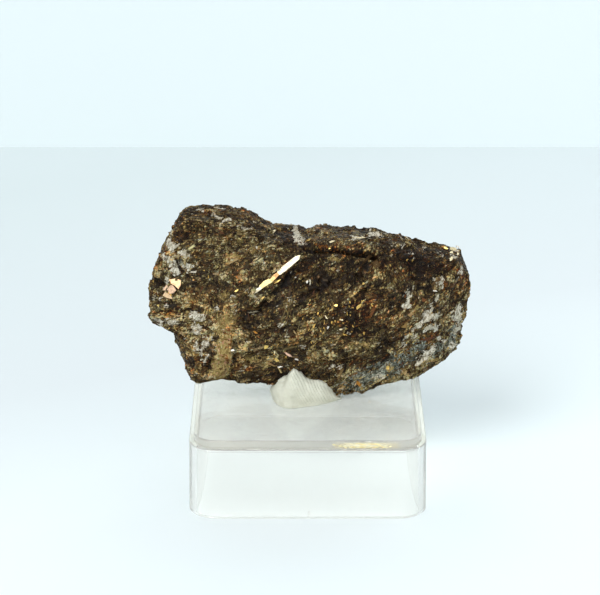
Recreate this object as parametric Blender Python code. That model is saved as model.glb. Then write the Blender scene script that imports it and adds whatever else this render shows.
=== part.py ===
"""An astrophyllite specimen held by a dab of putty on its clear moulded stand.

Three solids in one frame: metres, +Z up, +X along the specimen's longest side, the front facing -Y.
The origin is on the surface the stand rests on, under the middle of the whole object.
"""

import math

import bmesh
import bpy
import numpy as np

MM = 0.001
GAP = 0.3 * MM  # left between two pieces that touch

# The stand: a square tray, open at the bottom, with a raised inset platform on top.
STAND_X = -0.35 * MM  # its middle, a little left of the specimen's middle
STAND_HALF = 20.0 * MM  # half its side at the ledge
STAND_DRAFT = 0.15 * MM  # how much further out each side stands at the bottom
STAND_CORNER = 4.75 * MM  # plan radius of the corners
LEDGE_Z = 12.5 * MM
LEDGE_WIDTH = 0.8 * MM
PLATFORM_Z = 13.95 * MM
WALL = 1.3 * MM
PLATE = 1.75 * MM  # thickness of the top
EDGE_ROUND = 0.2 * MM
INNER_ROUND = 0.5 * MM  # where the walls meet the underside of the top
CORNER_STEPS, EDGE_STEPS, INNER_STEPS = 8, 2, 3  # faces in each rounding

# The putty: stacked ovals from the platform up to a pinched peak against the specimen's front.
PUTTY_FOOT = (-0.9 * MM, -1.6 * MM)
PUTTY_HALF = (6.1 * MM, 5.0 * MM)
PUTTY_PEAK = (-2.9 * MM, -6.3 * MM, 21.3 * MM)
PUTTY_BULGE = 0.10  # how much wider than its foot it swells, low down
PUTTY_TAPER = 1.15  # 1 narrows evenly, and more keeps it wide for longer
PUTTY_LEAN = 1.5  # 1 leans evenly, and more stays over the foot for longer
PUTTY_TIP = 0.04  # its width at the peak, as a part of the foot's
PUTTY_SIDES, PUTTY_LEVELS = 36, 12

# The specimen: a broken slab standing on its long edge.
ROCK_MIDDLE = np.array([0.0, 0.0, 30.5]) * MM
ROCK_HALF_DEPTH = 8.8 * MM
ROCK_SQUARENESS = 0.55  # 1 is an ellipsoid, and less is boxier
ROCK_LUMPS = [(0.55, 7.0, 0.6), (0.25, 2.6, 2.1)]  # (height in mm, width in mm, turn)
ROCK_EDGE_LUMPS = 0.3  # how much of the lumps is left at the outline, which keeps its shape
ROCK_SIDES, ROCK_RINGS = 72, 26
# Its outline seen from the front, clockwise from the top left corner, as (x, z) in mm.
ROCK_OUTLINE = [
    (-21.5, 47.2), (-18.9, 47.5), (-13.8, 47.5), (-10.3, 47.0), (-8.7, 45.9), (-6.4, 44.4),
    (-1.9, 43.9), (-0.5, 43.4), (4.6, 44.0), (10.9, 43.7), (17.3, 42.5), (20.4, 41.4),
    (25.6, 40.6), (27.1, 37.2), (27.5, 35.1), (26.5, 28.4), (26.2, 24.9), (25.5, 22.8),
    (21.9, 20.6), (18.4, 18.2), (12.0, 16.3), (8.8, 14.9), (6.0, 14.5), (-7.3, 17.2),
    (-15.3, 17.9), (-19.7, 17.3), (-21.1, 18.1), (-22.4, 22.9), (-23.9, 27.0), (-27.0, 28.3),
    (-27.7, 29.8), (-27.3, 31.6), (-27.7, 34.6), (-26.2, 39.4), (-23.3, 44.8),
]  # fmt: skip
# The flat breaks that cut it: the way each faces, and its distance from the middle in mm.
ROCK_BREAKS = [
    ((-0.10, -0.97, 0.16), 7.8),  # the broad front
    ((0.05, -0.92, -0.39), 8.3),  # under the front, down to the lower edge
    ((0.62, -0.76, -0.18), 18.6),  # the front of the right end
    ((-0.66, -0.74, 0.12), 20.0),  # the front of the left end
    ((0.10, -0.38, 0.92), 14.8),  # the top edge, over the front
    ((0.12, 0.96, 0.25), 7.8),  # the broad back
    ((-0.45, 0.80, -0.40), 14.0),  # the back of the lower left
    ((0.55, 0.78, -0.30), 16.5),  # the back of the right end
]


def wave(points, scale, turn):
    """A smooth lump pattern between -1 and 1: three crossed sines, each bent by another."""
    x, y, z = (points / scale).T
    a = np.sin(1.9 * x + 1.3 * np.sin(1.1 * z + turn) + 0.7 * y)
    b = np.sin(2.3 * z - 1.1 * np.sin(1.4 * x - turn) + 1.9 * y + 2.0)
    c = np.sin(2.1 * y + 1.2 * np.sin(0.9 * x + 1.7 * z) - turn)
    return (a + b + c) / 3


def outline_radius(angles):
    """Distance from the specimen's middle to its outline, at these angles in the XZ plane."""
    corners = np.array(ROCK_OUTLINE) * MM - ROCK_MIDDLE[[0, 2]]
    turns = np.arctan2(corners[:, 1], corners[:, 0])
    order = np.argsort(turns)
    corners, turns = corners[order], turns[order]
    after = np.searchsorted(turns, angles) % len(turns)
    start, side = corners[after - 1], corners[after] - corners[after - 1]
    x, z = np.cos(angles), np.sin(angles)
    return (start[:, 0] * side[:, 1] - start[:, 1] * side[:, 0]) / (x * side[:, 1] - z * side[:, 0])


def rock_points(directions, grow=0.0):
    """The specimen's surface along these unit directions: a squared ellipsoid of the outline's
    shape, with low lumps, cut back to each flat break. grow moves all of it outwards."""
    x, y, z = directions.T
    across = np.hypot(x, z)
    radius = outline_radius(np.arctan2(z, x)) * across ** (ROCK_SQUARENESS - 1)
    depth = ROCK_HALF_DEPTH * np.sign(y) * np.abs(y) ** ROCK_SQUARENESS
    points = np.stack([x * radius, depth, z * radius], axis=1)
    lumps = sum(high * MM * wave(points, wide * MM, turn) for high, wide, turn in ROCK_LUMPS)
    lumps *= 1 - (1 - ROCK_EDGE_LUMPS) * across**6
    points += directions * (lumps + grow)[:, None]
    for facing, distance in ROCK_BREAKS:
        facing = np.array(facing) / np.linalg.norm(facing)
        past = points @ facing - (distance * MM + grow)
        points -= np.maximum(past, 0)[:, None] * facing
    return points + ROCK_MIDDLE


def rock_mesh(name, grow=0.0):
    """A sphere of quads with its poles to the front and the back, moved onto the surface."""
    bm = bmesh.new()
    bmesh.ops.create_uvsphere(bm, u_segments=ROCK_SIDES, v_segments=ROCK_RINGS, radius=1)
    ball = np.array([v.co for v in bm.verts])
    directions = np.stack([ball[:, 0], -ball[:, 2], ball[:, 1]], axis=1)
    directions /= np.linalg.norm(directions, axis=1)[:, None]
    across = np.hypot(directions[:, 0], directions[:, 2])
    directions[across < 1e-6, 0] = 1e-6  # the poles have no angle of their own
    for vert, place in zip(bm.verts, rock_points(directions, grow)):
        vert.co = place
    return finished_mesh(bm, name)


def finished_mesh(bm, name):
    bmesh.ops.triangulate(bm, faces=bm.faces)
    bmesh.ops.recalc_face_normals(bm, faces=bm.faces)
    mesh = bpy.data.meshes.new(name)
    bm.to_mesh(mesh)
    bm.free()
    return mesh


def loft(name, loops):
    """Closed solid through loops of equally many points, capped at both ends."""
    bm = bmesh.new()
    rings = [[bm.verts.new(p) for p in loop] for loop in loops]
    for lower, upper in zip(rings, rings[1:]):
        for i, corner in enumerate(lower):
            j = (i + 1) % len(lower)
            bm.faces.new((corner, lower[j], upper[j], upper[i]))
    bm.faces.new(rings[0][::-1])
    bm.faces.new(rings[-1])
    return finished_mesh(bm, name)


def rounded_square(half, z):
    """A square loop at height z, whose corners have the same centres at every size."""
    radius = STAND_CORNER - (STAND_HALF - half)
    centre = half - radius
    turns = [math.pi / 2 * (k + i / CORNER_STEPS) for k in range(4) for i in range(CORNER_STEPS + 1)]
    signs = [s for s in ((1, 1), (-1, 1), (-1, -1), (1, -1)) for i in range(CORNER_STEPS + 1)]
    return [
        (STAND_X + sx * centre + radius * math.cos(a), sy * centre + radius * math.sin(a), z)
        for a, (sx, sy) in zip(turns, signs)
    ]


def quarter(half, z, radius, first, steps):
    """(half width, height) along the quarter round of the corner (half, z). first is the angle it
    starts at: 0 climbs from the side to the top, and 90 goes the other way."""
    corner = (half - radius, z - radius)
    turns = [math.radians(first + (90 if first == 0 else -90) * i / steps) for i in range(steps + 1)]
    return [(corner[0] + radius * math.cos(a), corner[1] + radius * math.sin(a)) for a in turns]


def stand_profile():
    """From the middle of the underside of the top, out and down the inside, and up the outside."""
    inside = STAND_HALF - WALL
    ceiling = PLATFORM_Z - PLATE
    return [
        *quarter(inside, ceiling, INNER_ROUND, 90, INNER_STEPS),
        (inside + STAND_DRAFT, 0.0),
        (STAND_HALF + STAND_DRAFT, 0.0),
        *quarter(STAND_HALF, LEDGE_Z, EDGE_ROUND, 0, EDGE_STEPS),
        (STAND_HALF - LEDGE_WIDTH, LEDGE_Z),
        *quarter(STAND_HALF - LEDGE_WIDTH, PLATFORM_Z, EDGE_ROUND, 0, EDGE_STEPS),
    ]


def putty_loops():
    """Ovals that shrink from the foot to the peak while their middles lean towards the peak."""
    foot_z = PLATFORM_Z + GAP
    loops = []
    for level in range(PUTTY_LEVELS + 1):
        up = level / PUTTY_LEVELS
        bulge = 1 + PUTTY_BULGE * math.sin(math.pi * min(1, 2 * up))
        size = max(PUTTY_TIP, (1 - up**PUTTY_TAPER) * bulge)
        lean = up**PUTTY_LEAN
        x, y = (foot + (peak - foot) * lean for foot, peak in zip(PUTTY_FOOT, PUTTY_PEAK))
        z = foot_z + (PUTTY_PEAK[2] - foot_z) * up
        turns = [2 * math.pi * i / PUTTY_SIDES for i in range(PUTTY_SIDES)]
        loops.append(
            [(x + PUTTY_HALF[0] * size * math.cos(a), y + PUTTY_HALF[1] * size * math.sin(a), z) for a in turns]
        )
    return loops


def material(name, colour, roughness, transmission=0.0):
    mat = bpy.data.materials.new(name)
    mat.use_nodes = True
    shader = mat.node_tree.nodes["Principled BSDF"]
    shader.inputs["Base Color"].default_value = (*colour, 1)
    shader.inputs["Roughness"].default_value = roughness
    shader.inputs["Metallic"].default_value = 0.0
    shader.inputs["Transmission Weight"].default_value = transmission
    return mat


def add(name, mesh, mat):
    obj = bpy.data.objects.new(name, mesh)
    bpy.context.scene.collection.objects.link(obj)
    obj.data.materials.append(mat)
    return obj


def main():
    for obj in list(bpy.data.objects):
        bpy.data.objects.remove(obj, do_unlink=True)

    bronze = material("bronze_brown_stone", (0.10, 0.07, 0.04), 0.5)
    white = material("white_putty", (0.75, 0.74, 0.68), 0.7)
    clear = material("clear_plastic", (0.95, 0.96, 0.94), 0.03, transmission=1.0)

    add("astrophyllite", rock_mesh("astrophyllite"), bronze)

    stand = add("stand", loft("stand", [rounded_square(half, z) for half, z in stand_profile()]), clear)
    stand.data.shade_smooth()
    stand.data.set_sharp_from_angle(angle=math.radians(35))

    putty = add("putty", loft("putty", putty_loops()), white)
    cutter = add("specimen_cutter", rock_mesh("specimen_cutter", grow=GAP), bronze)
    cutter.hide_render = True
    cutter.display_type = "WIRE"
    bed = putty.modifiers.new("bed_of_the_specimen", "BOOLEAN")
    bed.operation = "DIFFERENCE"
    bed.object = cutter


main()
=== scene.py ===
# Astrophyllite specimen in a dab of putty on its clear moulded stand: fine shapes and finishes.
# Sizes in the dictionaries are in millimetres and angles in degrees unless a note says otherwise.
import math
from itertools import product

import bmesh
import bpy
import numpy as np
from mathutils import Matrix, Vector


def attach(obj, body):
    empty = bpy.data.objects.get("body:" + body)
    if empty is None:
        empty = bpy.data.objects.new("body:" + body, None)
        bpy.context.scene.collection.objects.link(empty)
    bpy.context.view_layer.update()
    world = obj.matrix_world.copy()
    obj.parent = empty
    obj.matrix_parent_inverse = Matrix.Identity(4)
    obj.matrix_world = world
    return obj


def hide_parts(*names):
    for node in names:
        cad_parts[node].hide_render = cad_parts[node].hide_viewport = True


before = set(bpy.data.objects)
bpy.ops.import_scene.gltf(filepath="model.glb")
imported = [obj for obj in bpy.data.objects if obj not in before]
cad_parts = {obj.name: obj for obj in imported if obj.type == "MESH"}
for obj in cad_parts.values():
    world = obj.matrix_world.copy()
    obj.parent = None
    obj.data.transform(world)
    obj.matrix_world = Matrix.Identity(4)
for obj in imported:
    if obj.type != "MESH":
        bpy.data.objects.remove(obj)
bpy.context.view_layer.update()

mm = 0.001
scene = bpy.context.scene


def paint(red, green, blue):
    # a colour given as 0 to 255 on a screen, as the linear values that a shader takes
    share = np.array([red, green, blue]) / 255
    return (*np.where(share < 0.04045, share / 12.92, ((share + 0.055) / 1.055) ** 2.4), 1.0)


def smoothStep(low, high, values):
    share = np.clip((values - low) / (high - low), 0, 1)
    return share * share * (3 - 2 * share)


def unit(vectors):
    return vectors / np.maximum(np.linalg.norm(vectors, axis=-1, keepdims=True), 1e-12)


def turned(across, up, degrees):
    # the two coordinates along and across a line at this angle
    turn = np.radians(degrees)
    return across * np.cos(turn) + up * np.sin(turn), up * np.cos(turn) - across * np.sin(turn)


def makeMesh(name, points, faces):
    # points in metres, faces as rows of three or four point numbers
    mesh = bpy.data.meshes.new(name)
    mesh.vertices.add(len(points))
    mesh.vertices.foreach_set("co", np.ascontiguousarray(points, np.float32).ravel())
    mesh.loops.add(faces.size)
    mesh.loops.foreach_set("vertex_index", np.ascontiguousarray(faces, np.int32).ravel())
    mesh.polygons.add(len(faces))
    mesh.polygons.foreach_set("loop_start", np.arange(0, faces.size, faces.shape[1], dtype=np.int32))
    mesh.update(calc_edges=True)
    mesh.validate()
    return mesh


def closeMesh(mesh):
    # joins the points that fall together at seams and poles, and faces everything outwards
    bm = bmesh.new()
    bm.from_mesh(mesh)
    bmesh.ops.remove_doubles(bm, verts=bm.verts, dist=1e-6)
    bmesh.ops.dissolve_degenerate(bm, edges=bm.edges, dist=1e-7)
    bmesh.ops.recalc_face_normals(bm, faces=bm.faces)
    bm.to_mesh(mesh)
    bm.free()


def setValues(mesh, name, values):
    # a named value on each point: a number, or a vector, or a colour, by the array's width
    kinds = {1: ("FLOAT", "value"), 3: ("FLOAT_VECTOR", "vector"), 4: ("FLOAT_COLOR", "color")}
    kind, field = kinds[1 if values.ndim == 1 else values.shape[1]]
    data = mesh.attributes.new(name, kind, "POINT").data
    data.foreach_set(field, np.ascontiguousarray(values, np.float32).ravel())


def addObject(name, data):
    made = bpy.data.objects.new(name, data)
    scene.collection.objects.link(made)
    return made


def addPiece(name, mesh, material, node=None):
    piece = addObject(name, mesh)
    mesh.materials.append(material)
    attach(piece, "root")
    if node:
        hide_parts(node)


def ringFaces(levels, around):
    # quads between the neighbours of a stack of rings of points
    down = np.arange(levels - 1)[:, None] * around
    here = np.arange(around)[None, :]
    beside = np.roll(here, -1)
    quads = [down + here, down + beside, down + around + beside, down + around + here]
    return np.stack(quads, -1).reshape(-1, 4)


def halved(quads):
    return np.concatenate([quads[:, [0, 1, 2]], quads[:, [0, 2, 3]]])


def fan(ring, middle, upwards):
    # triangles from a ring of points, given by their numbers, to the point at its middle
    after = np.roll(ring, -1)
    pair = (ring, after) if upwards else (after, ring)
    return np.stack([*pair, np.full(len(ring), middle)], 1)


def ringSolid(name, points, around, middles):
    # a wall through all the rings, a fan from the first ring to the first middle point and, if there
    # is a second middle point, a fan from the last ring to that
    rings = np.arange(len(points)).reshape(-1, around)
    triangles = [halved(ringFaces(*rings.shape)), fan(rings[0], len(points), False)]
    if len(middles) > 1:
        triangles.append(fan(rings[-1], len(points) + 1, True))
    mesh = makeMesh(name, np.concatenate([points, middles]), np.concatenate(triangles))
    closeMesh(mesh)
    mesh.shade_smooth()
    return mesh


# shader building
def plug(tree, socket, value):
    if isinstance(value, bpy.types.NodeSocket):
        tree.links.new(value, socket)
    else:
        socket.default_value = value


def addNode(tree, kind, inputs=None, **settings):
    made = tree.nodes.new("ShaderNode" + kind)
    for name, value in settings.items():
        setattr(made, name, value)
    for name, value in (inputs or {}).items():
        plug(tree, made.inputs[name], value)
    return made


def calc(tree, operation, *values):
    made = addNode(tree, "Math", operation=operation)
    for socket, value in zip(made.inputs, values):
        plug(tree, socket, value)
    return made.outputs[0]


def vectorCalc(tree, operation, *values):
    made = addNode(tree, "VectorMath", operation=operation)
    for socket, value in zip(made.inputs, values):
        plug(tree, socket, value)
    return made.outputs["Value" if operation in ("DOT_PRODUCT", "LENGTH") else "Vector"]


def blendColour(tree, share, first, second, way="MIX"):
    made = addNode(tree, "Mix", data_type="RGBA", blend_type=way)
    for socket, value in zip((made.inputs[0], made.inputs[6], made.inputs[7]), (share, first, second)):
        plug(tree, socket, value)
    return made.outputs[2]


def spread(tree, value, low, high, toLow=0.0, toHigh=1.0):
    limits = {"From Min": low, "From Max": high, "To Min": toLow, "To Max": toHigh}
    made = addNode(tree, "MapRange", limits)
    plug(tree, made.inputs["Value"], value)
    return made.outputs[0]


def weighted(tree, pairs):
    # the sum of each value times its weight
    total = 0.0
    for value, weight in pairs:
        total = calc(tree, "MULTIPLY_ADD", value, weight, total)
    return total


def ramp(tree, value, stops):
    made = addNode(tree, "ValToRGB")
    plug(tree, made.inputs[0], value)
    elements = made.color_ramp.elements
    while len(elements) < len(stops):
        elements.new(0.5)
    for element, (place, colour) in zip(elements, stops):
        element.position = place
        element.color = colour
    return made.outputs[0]


def newGroup(name, inputs, outputs):
    group = bpy.data.node_groups.new(name, "ShaderNodeTree")
    for way, sockets in (("INPUT", inputs), ("OUTPUT", outputs)):
        for label, kind, *value in sockets:
            socket = group.interface.new_socket(label, in_out=way, socket_type="NodeSocket" + kind)
            if value:
                socket.default_value = value[0]
    given = group.nodes.new("NodeGroupInput").outputs
    return group, given, group.nodes.new("NodeGroupOutput").inputs


def useGroup(tree, group, **inputs):
    made = tree.nodes.new("ShaderNodeGroup")
    made.node_tree = group
    for name, value in inputs.items():
        plug(tree, made.inputs[name], value)
    return made.outputs


def swapShader(tree, shader, share, colour):
    # puts plain see-through of this colour in the shader's place, by this share
    clear = addNode(tree, "BsdfTransparent", {"Color": colour})
    chosen = addNode(tree, "MixShader")
    for socket, value in zip(chosen.inputs, (share, shader.outputs[0], clear.outputs[0])):
        plug(tree, socket, value)
    plug(tree, tree.nodes["Material Output"].inputs["Surface"], chosen.outputs[0])


def newMaterial(name, constants):
    # constants: the values set on the shader's own sockets
    material = bpy.data.materials.new(name)
    material.use_nodes = True
    shader = material.node_tree.nodes["Principled BSDF"]
    for socket, value in constants.items():
        shader.inputs[socket].default_value = value
    return material, material.node_tree, shader


def named(tree, name, output="Fac"):
    # a value of the mesh by its name
    return addNode(tree, "Attribute", attribute_name=name).outputs[output]


def noise(tree, place, **inputs):
    return addNode(tree, "TexNoise", {"Vector": place, **inputs}).outputs["Fac"]


def bumpFrom(tree, shader, height):
    # height in metres
    bump = addNode(tree, "Bump", {"Height": height, "Distance": 1.0})
    plug(tree, shader.inputs["Normal"], bump.outputs[0])


def grainCellsGroup():
    # Long narrow cells: Voronoi cells in coordinates shrunk by the cell's length and width. Each cell
    # gets its own colour, and a height that falls evenly across it like a broken facet.
    inputs = [("Vector", "Vector"), ("Length", "Float", 1.0), ("Width", "Float", 0.4)]
    inputs += [("Turn", "Float", 0.0), ("Seed", "Float", 0.0)]
    outputs = [("Colour", "Color"), ("Facet", "Float"), ("Rim", "Float")]
    group, given, made = newGroup("grainCells", inputs, outputs)
    angle = addNode(group, "CombineXYZ", {"Y": given["Turn"]}).outputs[0]
    place = {"Vector": given["Vector"], "Rotation": angle}
    place = addNode(group, "VectorRotate", place, rotation_type="EULER_XYZ").outputs[0]
    size = addNode(group, "CombineXYZ", {"X": given["Length"], "Y": given["Width"], "Z": given["Width"]})
    place = vectorCalc(group, "DIVIDE", place, size.outputs[0])
    place = vectorCalc(group, "ADD", place, given["Seed"])
    cells = addNode(group, "TexVoronoi", {"Vector": place, "Scale": 1.0}).outputs
    inside = vectorCalc(group, "SUBTRACT", place, cells["Position"])
    slope = vectorCalc(group, "SUBTRACT", cells["Color"], (0.5, 0.5, 0.5))
    plug(group, made["Colour"], cells["Color"])
    plug(group, made["Facet"], vectorCalc(group, "DOT_PRODUCT", inside, slope))
    plug(group, made["Rim"], cells["Distance"])
    return group


grainCells = grainCellsGroup()


# the camera, the floor and the light
studio = {
    "lens": 144.0,
    "cameraPlace": (-1.65, -382.8, 182.9),
    "cameraTilt": 68.5,
    "backdropPlace": 183.0,          # how far behind the specimen it stands
    "backdropHeight": 400.0,
    "stageHalfWidth": 2500.0,
    "floorUp": -0.01,                # just clear of the stand's underside
    "paintedFloorFalloff": [                  # the floor's colour from the front to the back: a painted light falloff, darker towards the back
        (-60, (0.815, 0.905, 0.93, 1)), (0, (0.79, 0.868, 0.89, 1)), (60, (0.68, 0.735, 0.76, 1)),
        (183, (0.61, 0.677, 0.692, 1)),
    ],
    "paintedFalloffSlant": -0.5,              # how much the painted falloff leans to the left
    "backdropColour": (0.785, 0.868, 0.888, 1),
    "matt": {"Roughness": 0.9, "Specular IOR Level": 0.1},   # the finish of both
    "worldColour": (1.0, 0.99, 0.985, 1.0),
    "worldStrength": 0.56,
    "lamps": {                       # where each light comes from, its width in degrees, its strength
        "keyLight": ((-0.61, -0.95, 1.0), 29.0, 1.52),
        "fillLight": ((0.35, -1.0, 0.75), 70.0, 0.42),
        "backLight": ((0.15, 0.8, 1.0), 60.0, 0.82),
    },
    "reflections": 20,               # how many times light may turn inside the clear stand
}


def addCamera():
    data = bpy.data.cameras.new("camera")
    camera = addObject("camera", data)
    data.lens = studio["lens"]
    data.sensor_width = 36
    data.clip_start = 0.01
    camera.location = np.array(studio["cameraPlace"]) * mm
    camera.rotation_euler = (math.radians(studio["cameraTilt"]), 0, 0)
    scene.camera = camera


def addStage():
    wide, back = studio["stageHalfWidth"], studio["backdropPlace"]
    low, high = studio["floorUp"], studio["backdropHeight"]
    sheets = {
        "floor": [(-wide, -wide, low), (wide, -wide, low), (wide, wide, low), (-wide, wide, low)],
        "backdrop": [(-wide, back, low), (wide, back, low), (wide, back, high), (-wide, back, high)],
    }
    for name, corners in sheets.items():
        mesh = makeMesh(name, np.array(corners, float) * mm, np.array([[0, 1, 2, 3]]))
        constants = {"Base Color": studio["backdropColour"], **studio["matt"]}
        material, tree, shader = newMaterial(name, constants)
        if name == "floor":
            # painted light falloff: the floor grows a little darker towards the back and the left
            place = addNode(tree, "SeparateXYZ", {"Vector": addNode(tree, "TexCoord").outputs["Object"]})
            first, last = studio["paintedFloorFalloff"][0][0], studio["paintedFloorFalloff"][-1][0]
            slanted = calc(tree, "MULTIPLY_ADD", place.outputs["X"], studio["paintedFalloffSlant"], place.outputs["Y"])
            share = spread(tree, slanted, first * mm, last * mm)
            stops = [((far - first) / (last - first), colour) for far, colour in studio["paintedFloorFalloff"]]
            plug(tree, shader.inputs["Base Color"], ramp(tree, share, stops))
        else:
            # the backdrop is seen only from its front, and lamps shine through it
            behind = addNode(tree, "NewGeometry").outputs["Backfacing"]
            unseen = calc(tree, "MAXIMUM", behind, addNode(tree, "LightPath").outputs["Is Shadow Ray"])
            swapShader(tree, shader, unseen, (1, 1, 1, 1))
        mesh.materials.append(material)
        sheet = addObject(name, mesh)


def addLight():
    world = bpy.data.worlds.new("studio")
    scene.world = world
    world.use_nodes = True
    sky = world.node_tree.nodes["Background"].inputs
    sky["Color"].default_value = studio["worldColour"]
    sky["Strength"].default_value = studio["worldStrength"]
    for name, (way, width, strength) in studio["lamps"].items():
        data = bpy.data.lights.new(name, "SUN")
        data.angle = math.radians(width)
        data.energy = strength
        addObject(name, data).rotation_euler = Vector(way).to_track_quat("Z", "Y").to_euler()


addCamera()
addStage()
addLight()
scene.view_settings.view_transform = "Standard"
for bounces in ("max_bounces", "glossy_bounces", "transmission_bounces"):
    setattr(scene.cycles, bounces, studio["reflections"])
print("stage and light are set")


# the specimen: the solid's own formula on a finer grid, with facets, ledges and troughs
rock = {
    "middle": (0.0, 0.0, 30.5),
    "halfDepth": 8.8,
    "halfAcross": 21.0,              # a middling half width, for spacing the grid
    "squareness": 0.55,              # 1 is an ellipsoid, and less is boxier
    "outline": [                     # (x, z) clockwise from the top left corner
        (-21.5, 47.2), (-18.9, 47.5), (-13.8, 47.5), (-10.3, 47.0), (-8.7, 45.9), (-6.4, 44.4),
        (-1.9, 43.9), (-0.5, 43.4), (4.6, 44.0), (10.9, 43.7), (17.3, 42.5), (20.4, 41.4),
        (25.6, 40.6), (27.1, 37.2), (27.5, 35.1), (26.5, 28.4), (26.2, 24.9), (25.5, 22.8),
        (21.9, 20.6), (18.4, 18.2), (12.0, 16.3), (8.8, 14.9), (6.0, 14.5), (-7.3, 17.2),
        (-15.3, 17.9), (-19.7, 17.3), (-21.1, 18.1), (-22.4, 22.9), (-23.9, 27.0), (-27.0, 28.3),
        (-27.7, 29.8), (-27.3, 31.6), (-27.7, 34.6), (-26.2, 39.4), (-23.3, 44.8),
    ],
    "breaks": [                      # the way each flat break faces, and its distance from the middle
        ((-0.10, -0.97, 0.16), 7.8), ((0.05, -0.92, -0.39), 8.3), ((0.62, -0.76, -0.18), 18.6),
        ((-0.66, -0.74, 0.12), 20.0), ((0.10, -0.38, 0.92), 14.8), ((0.12, 0.96, 0.25), 7.8),
        ((-0.45, 0.80, -0.40), 14.0), ((0.55, 0.78, -0.30), 16.5),
    ],
    "lumps": [(0.55, 7.0, 0.6), (0.25, 2.6, 2.1)],   # (height, width, shift of the pattern)
    "edgeLumps": 0.3,
    "shrink": -0.32,                 # makes room for the facets and the chips
    "gridAcross": 280, "gridUp": 178,
    "grainTurn": 31.0,               # how the grain climbs to the right at the middle
    "grainBend": 0.6,                # and how much steeper it gets with each millimetre
    # (length, width, height, seed)
    "facets": [(6.5, 3.2, 0.55, 2.0), (2.6, 1.2, 0.42, 5.0), (1.2, 0.55, 0.24, 9.0), (0.6, 0.36, 0.12, 13.0)],
    # (from x, up, to x, up, rise above the line, fade of the rise, depth of the groove, its width)
    "ledges": [
        (-0.8, 38.5, 11.7, 36.9, 0.9, 3.0, 1.2, 0.45),    # the lump over the long crevice
        (-9.4, 27.4, -1.8, 35.5, 0.5, 2.0, 0.6, 0.9),      # the trough below the long blade
        (-17.6, 16.6, -15.5, 22.7, -0.5, 2.5, 0.5, 0.3),   # either side of the ochre plate
        (-13.5, 16.2, -12.9, 24.0, 0.4, 2.0, 0.5, 0.3),
        (12.6, 22.8, 14.8, 20.7, 0.2, 1.0, 0.5, 0.35),
        (18.3, 25.9, 21.7, 30.8, 0.5, 1.4, 0.3, 0.4),
        (-22.0, 41.0, -8.1, 41.3, -0.3, 2.0, 0.15, 0.6),
        (7.0, 39.6, 13.0, 40.3, 0.4, 1.2, 0.3, 0.3),
        (-26.0, 27.4, -19.0, 28.6, 0.3, 1.5, 0.3, 0.4),
        (2.0, 19.0, 12.0, 19.6, 0.5, 2.0, 0.4, 0.8),
        (16.0, 18.0, 23.5, 24.5, 0.35, 1.5, 0.3, 0.5),
    ],
    "pits": [                        # (x, up, radius, depth)
        (-26.0, 32.2, 1.0, 0.9), (-13.8, 15.9, 0.8, 0.7), (22.5, 31.8, 0.8, 0.4), (8.6, 25.0, 2.4, 0.7),
        (19.0, 35.6, 2.2, 0.5), (-10.5, 26.0, 1.8, 0.5),
    ],
    "ledgeWander": (0.35, 1.3),      # how far the ledges stray, and over what length
    "grainWaves": (0.9, 4.5, 5.5),   # how far the grain strays, and over what length along X and along Z
    "facetSlant": 1.6, "facetStep": 0.7,     # a facet's slope and its own level
    # the share of the smaller facets that is gone on whole faces and round the outline
    "calmBelow": 5.0, "calmFaces": 0.75, "calmRim": 0.4,
}
viewTilt = math.radians(90 - studio["cameraTilt"])
toEye = np.array([0, -math.cos(viewTilt), math.sin(viewTilt)])
upEye = np.array([0, math.sin(viewTilt), math.cos(viewTilt)])


def seenPlane(points):
    # where a point of the front or the top lies for the eye: (x, height across the view), in mm
    return points[:, 0] / mm, points @ upEye / mm


def wave(points, scale, turn):
    # a smooth lump pattern from -1 to 1: three crossed sines, each bent by another
    x, y, z = (points / scale).T
    a = np.sin(1.9 * x + 1.3 * np.sin(1.1 * z + turn) + 0.7 * y)
    b = np.sin(2.3 * z - 1.1 * np.sin(1.4 * x - turn) + 1.9 * y + 2.0)
    c = np.sin(2.1 * y + 1.2 * np.sin(0.9 * x + 1.7 * z) - turn)
    return (a + b + c) / 3


def waves(points, rows):
    # the sum of several such patterns, each with its height and its width in mm
    return sum(high * wave(points, wide * mm, turn) for high, wide, turn in rows)


def outlineRadius(angles):
    # distance from the middle to the straight line between the two outline corners on either side
    corners = (np.array(rock["outline"]) - np.array(rock["middle"])[[0, 2]]) * mm
    turns = np.arctan2(corners[:, 1], corners[:, 0])
    order = np.argsort(turns)
    corners, turns = corners[order], turns[order]
    after = np.searchsorted(turns, angles) % len(turns)
    start, side = corners[after - 1], corners[after] - corners[after - 1]
    x, z = np.cos(angles), np.sin(angles)
    return (start[:, 0] * side[:, 1] - start[:, 1] * side[:, 0]) / (x * side[:, 1] - z * side[:, 0])


def rockPoints(directions):
    # a squared ellipsoid of the outline's shape, with low lumps, cut back to each flat break
    x, y, z = directions.T
    across = np.maximum(np.hypot(x, z), 1e-6)
    radius = outlineRadius(np.arctan2(z, x)) * across ** (rock["squareness"] - 1)
    depth = rock["halfDepth"] * mm * np.sign(y) * np.abs(y) ** rock["squareness"]
    points = np.stack([x * radius, depth, z * radius], axis=1)
    lumps = waves(points, rock["lumps"]) * mm
    points += directions * (lumps * (1 - (1 - rock["edgeLumps"]) * across**6))[:, None]
    for facing, distance in rock["breaks"]:
        facing = unit(np.array(facing))
        points -= np.maximum(points @ facing - distance * mm, 0)[:, None] * facing
    return points + np.array(rock["middle"]) * mm


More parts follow.
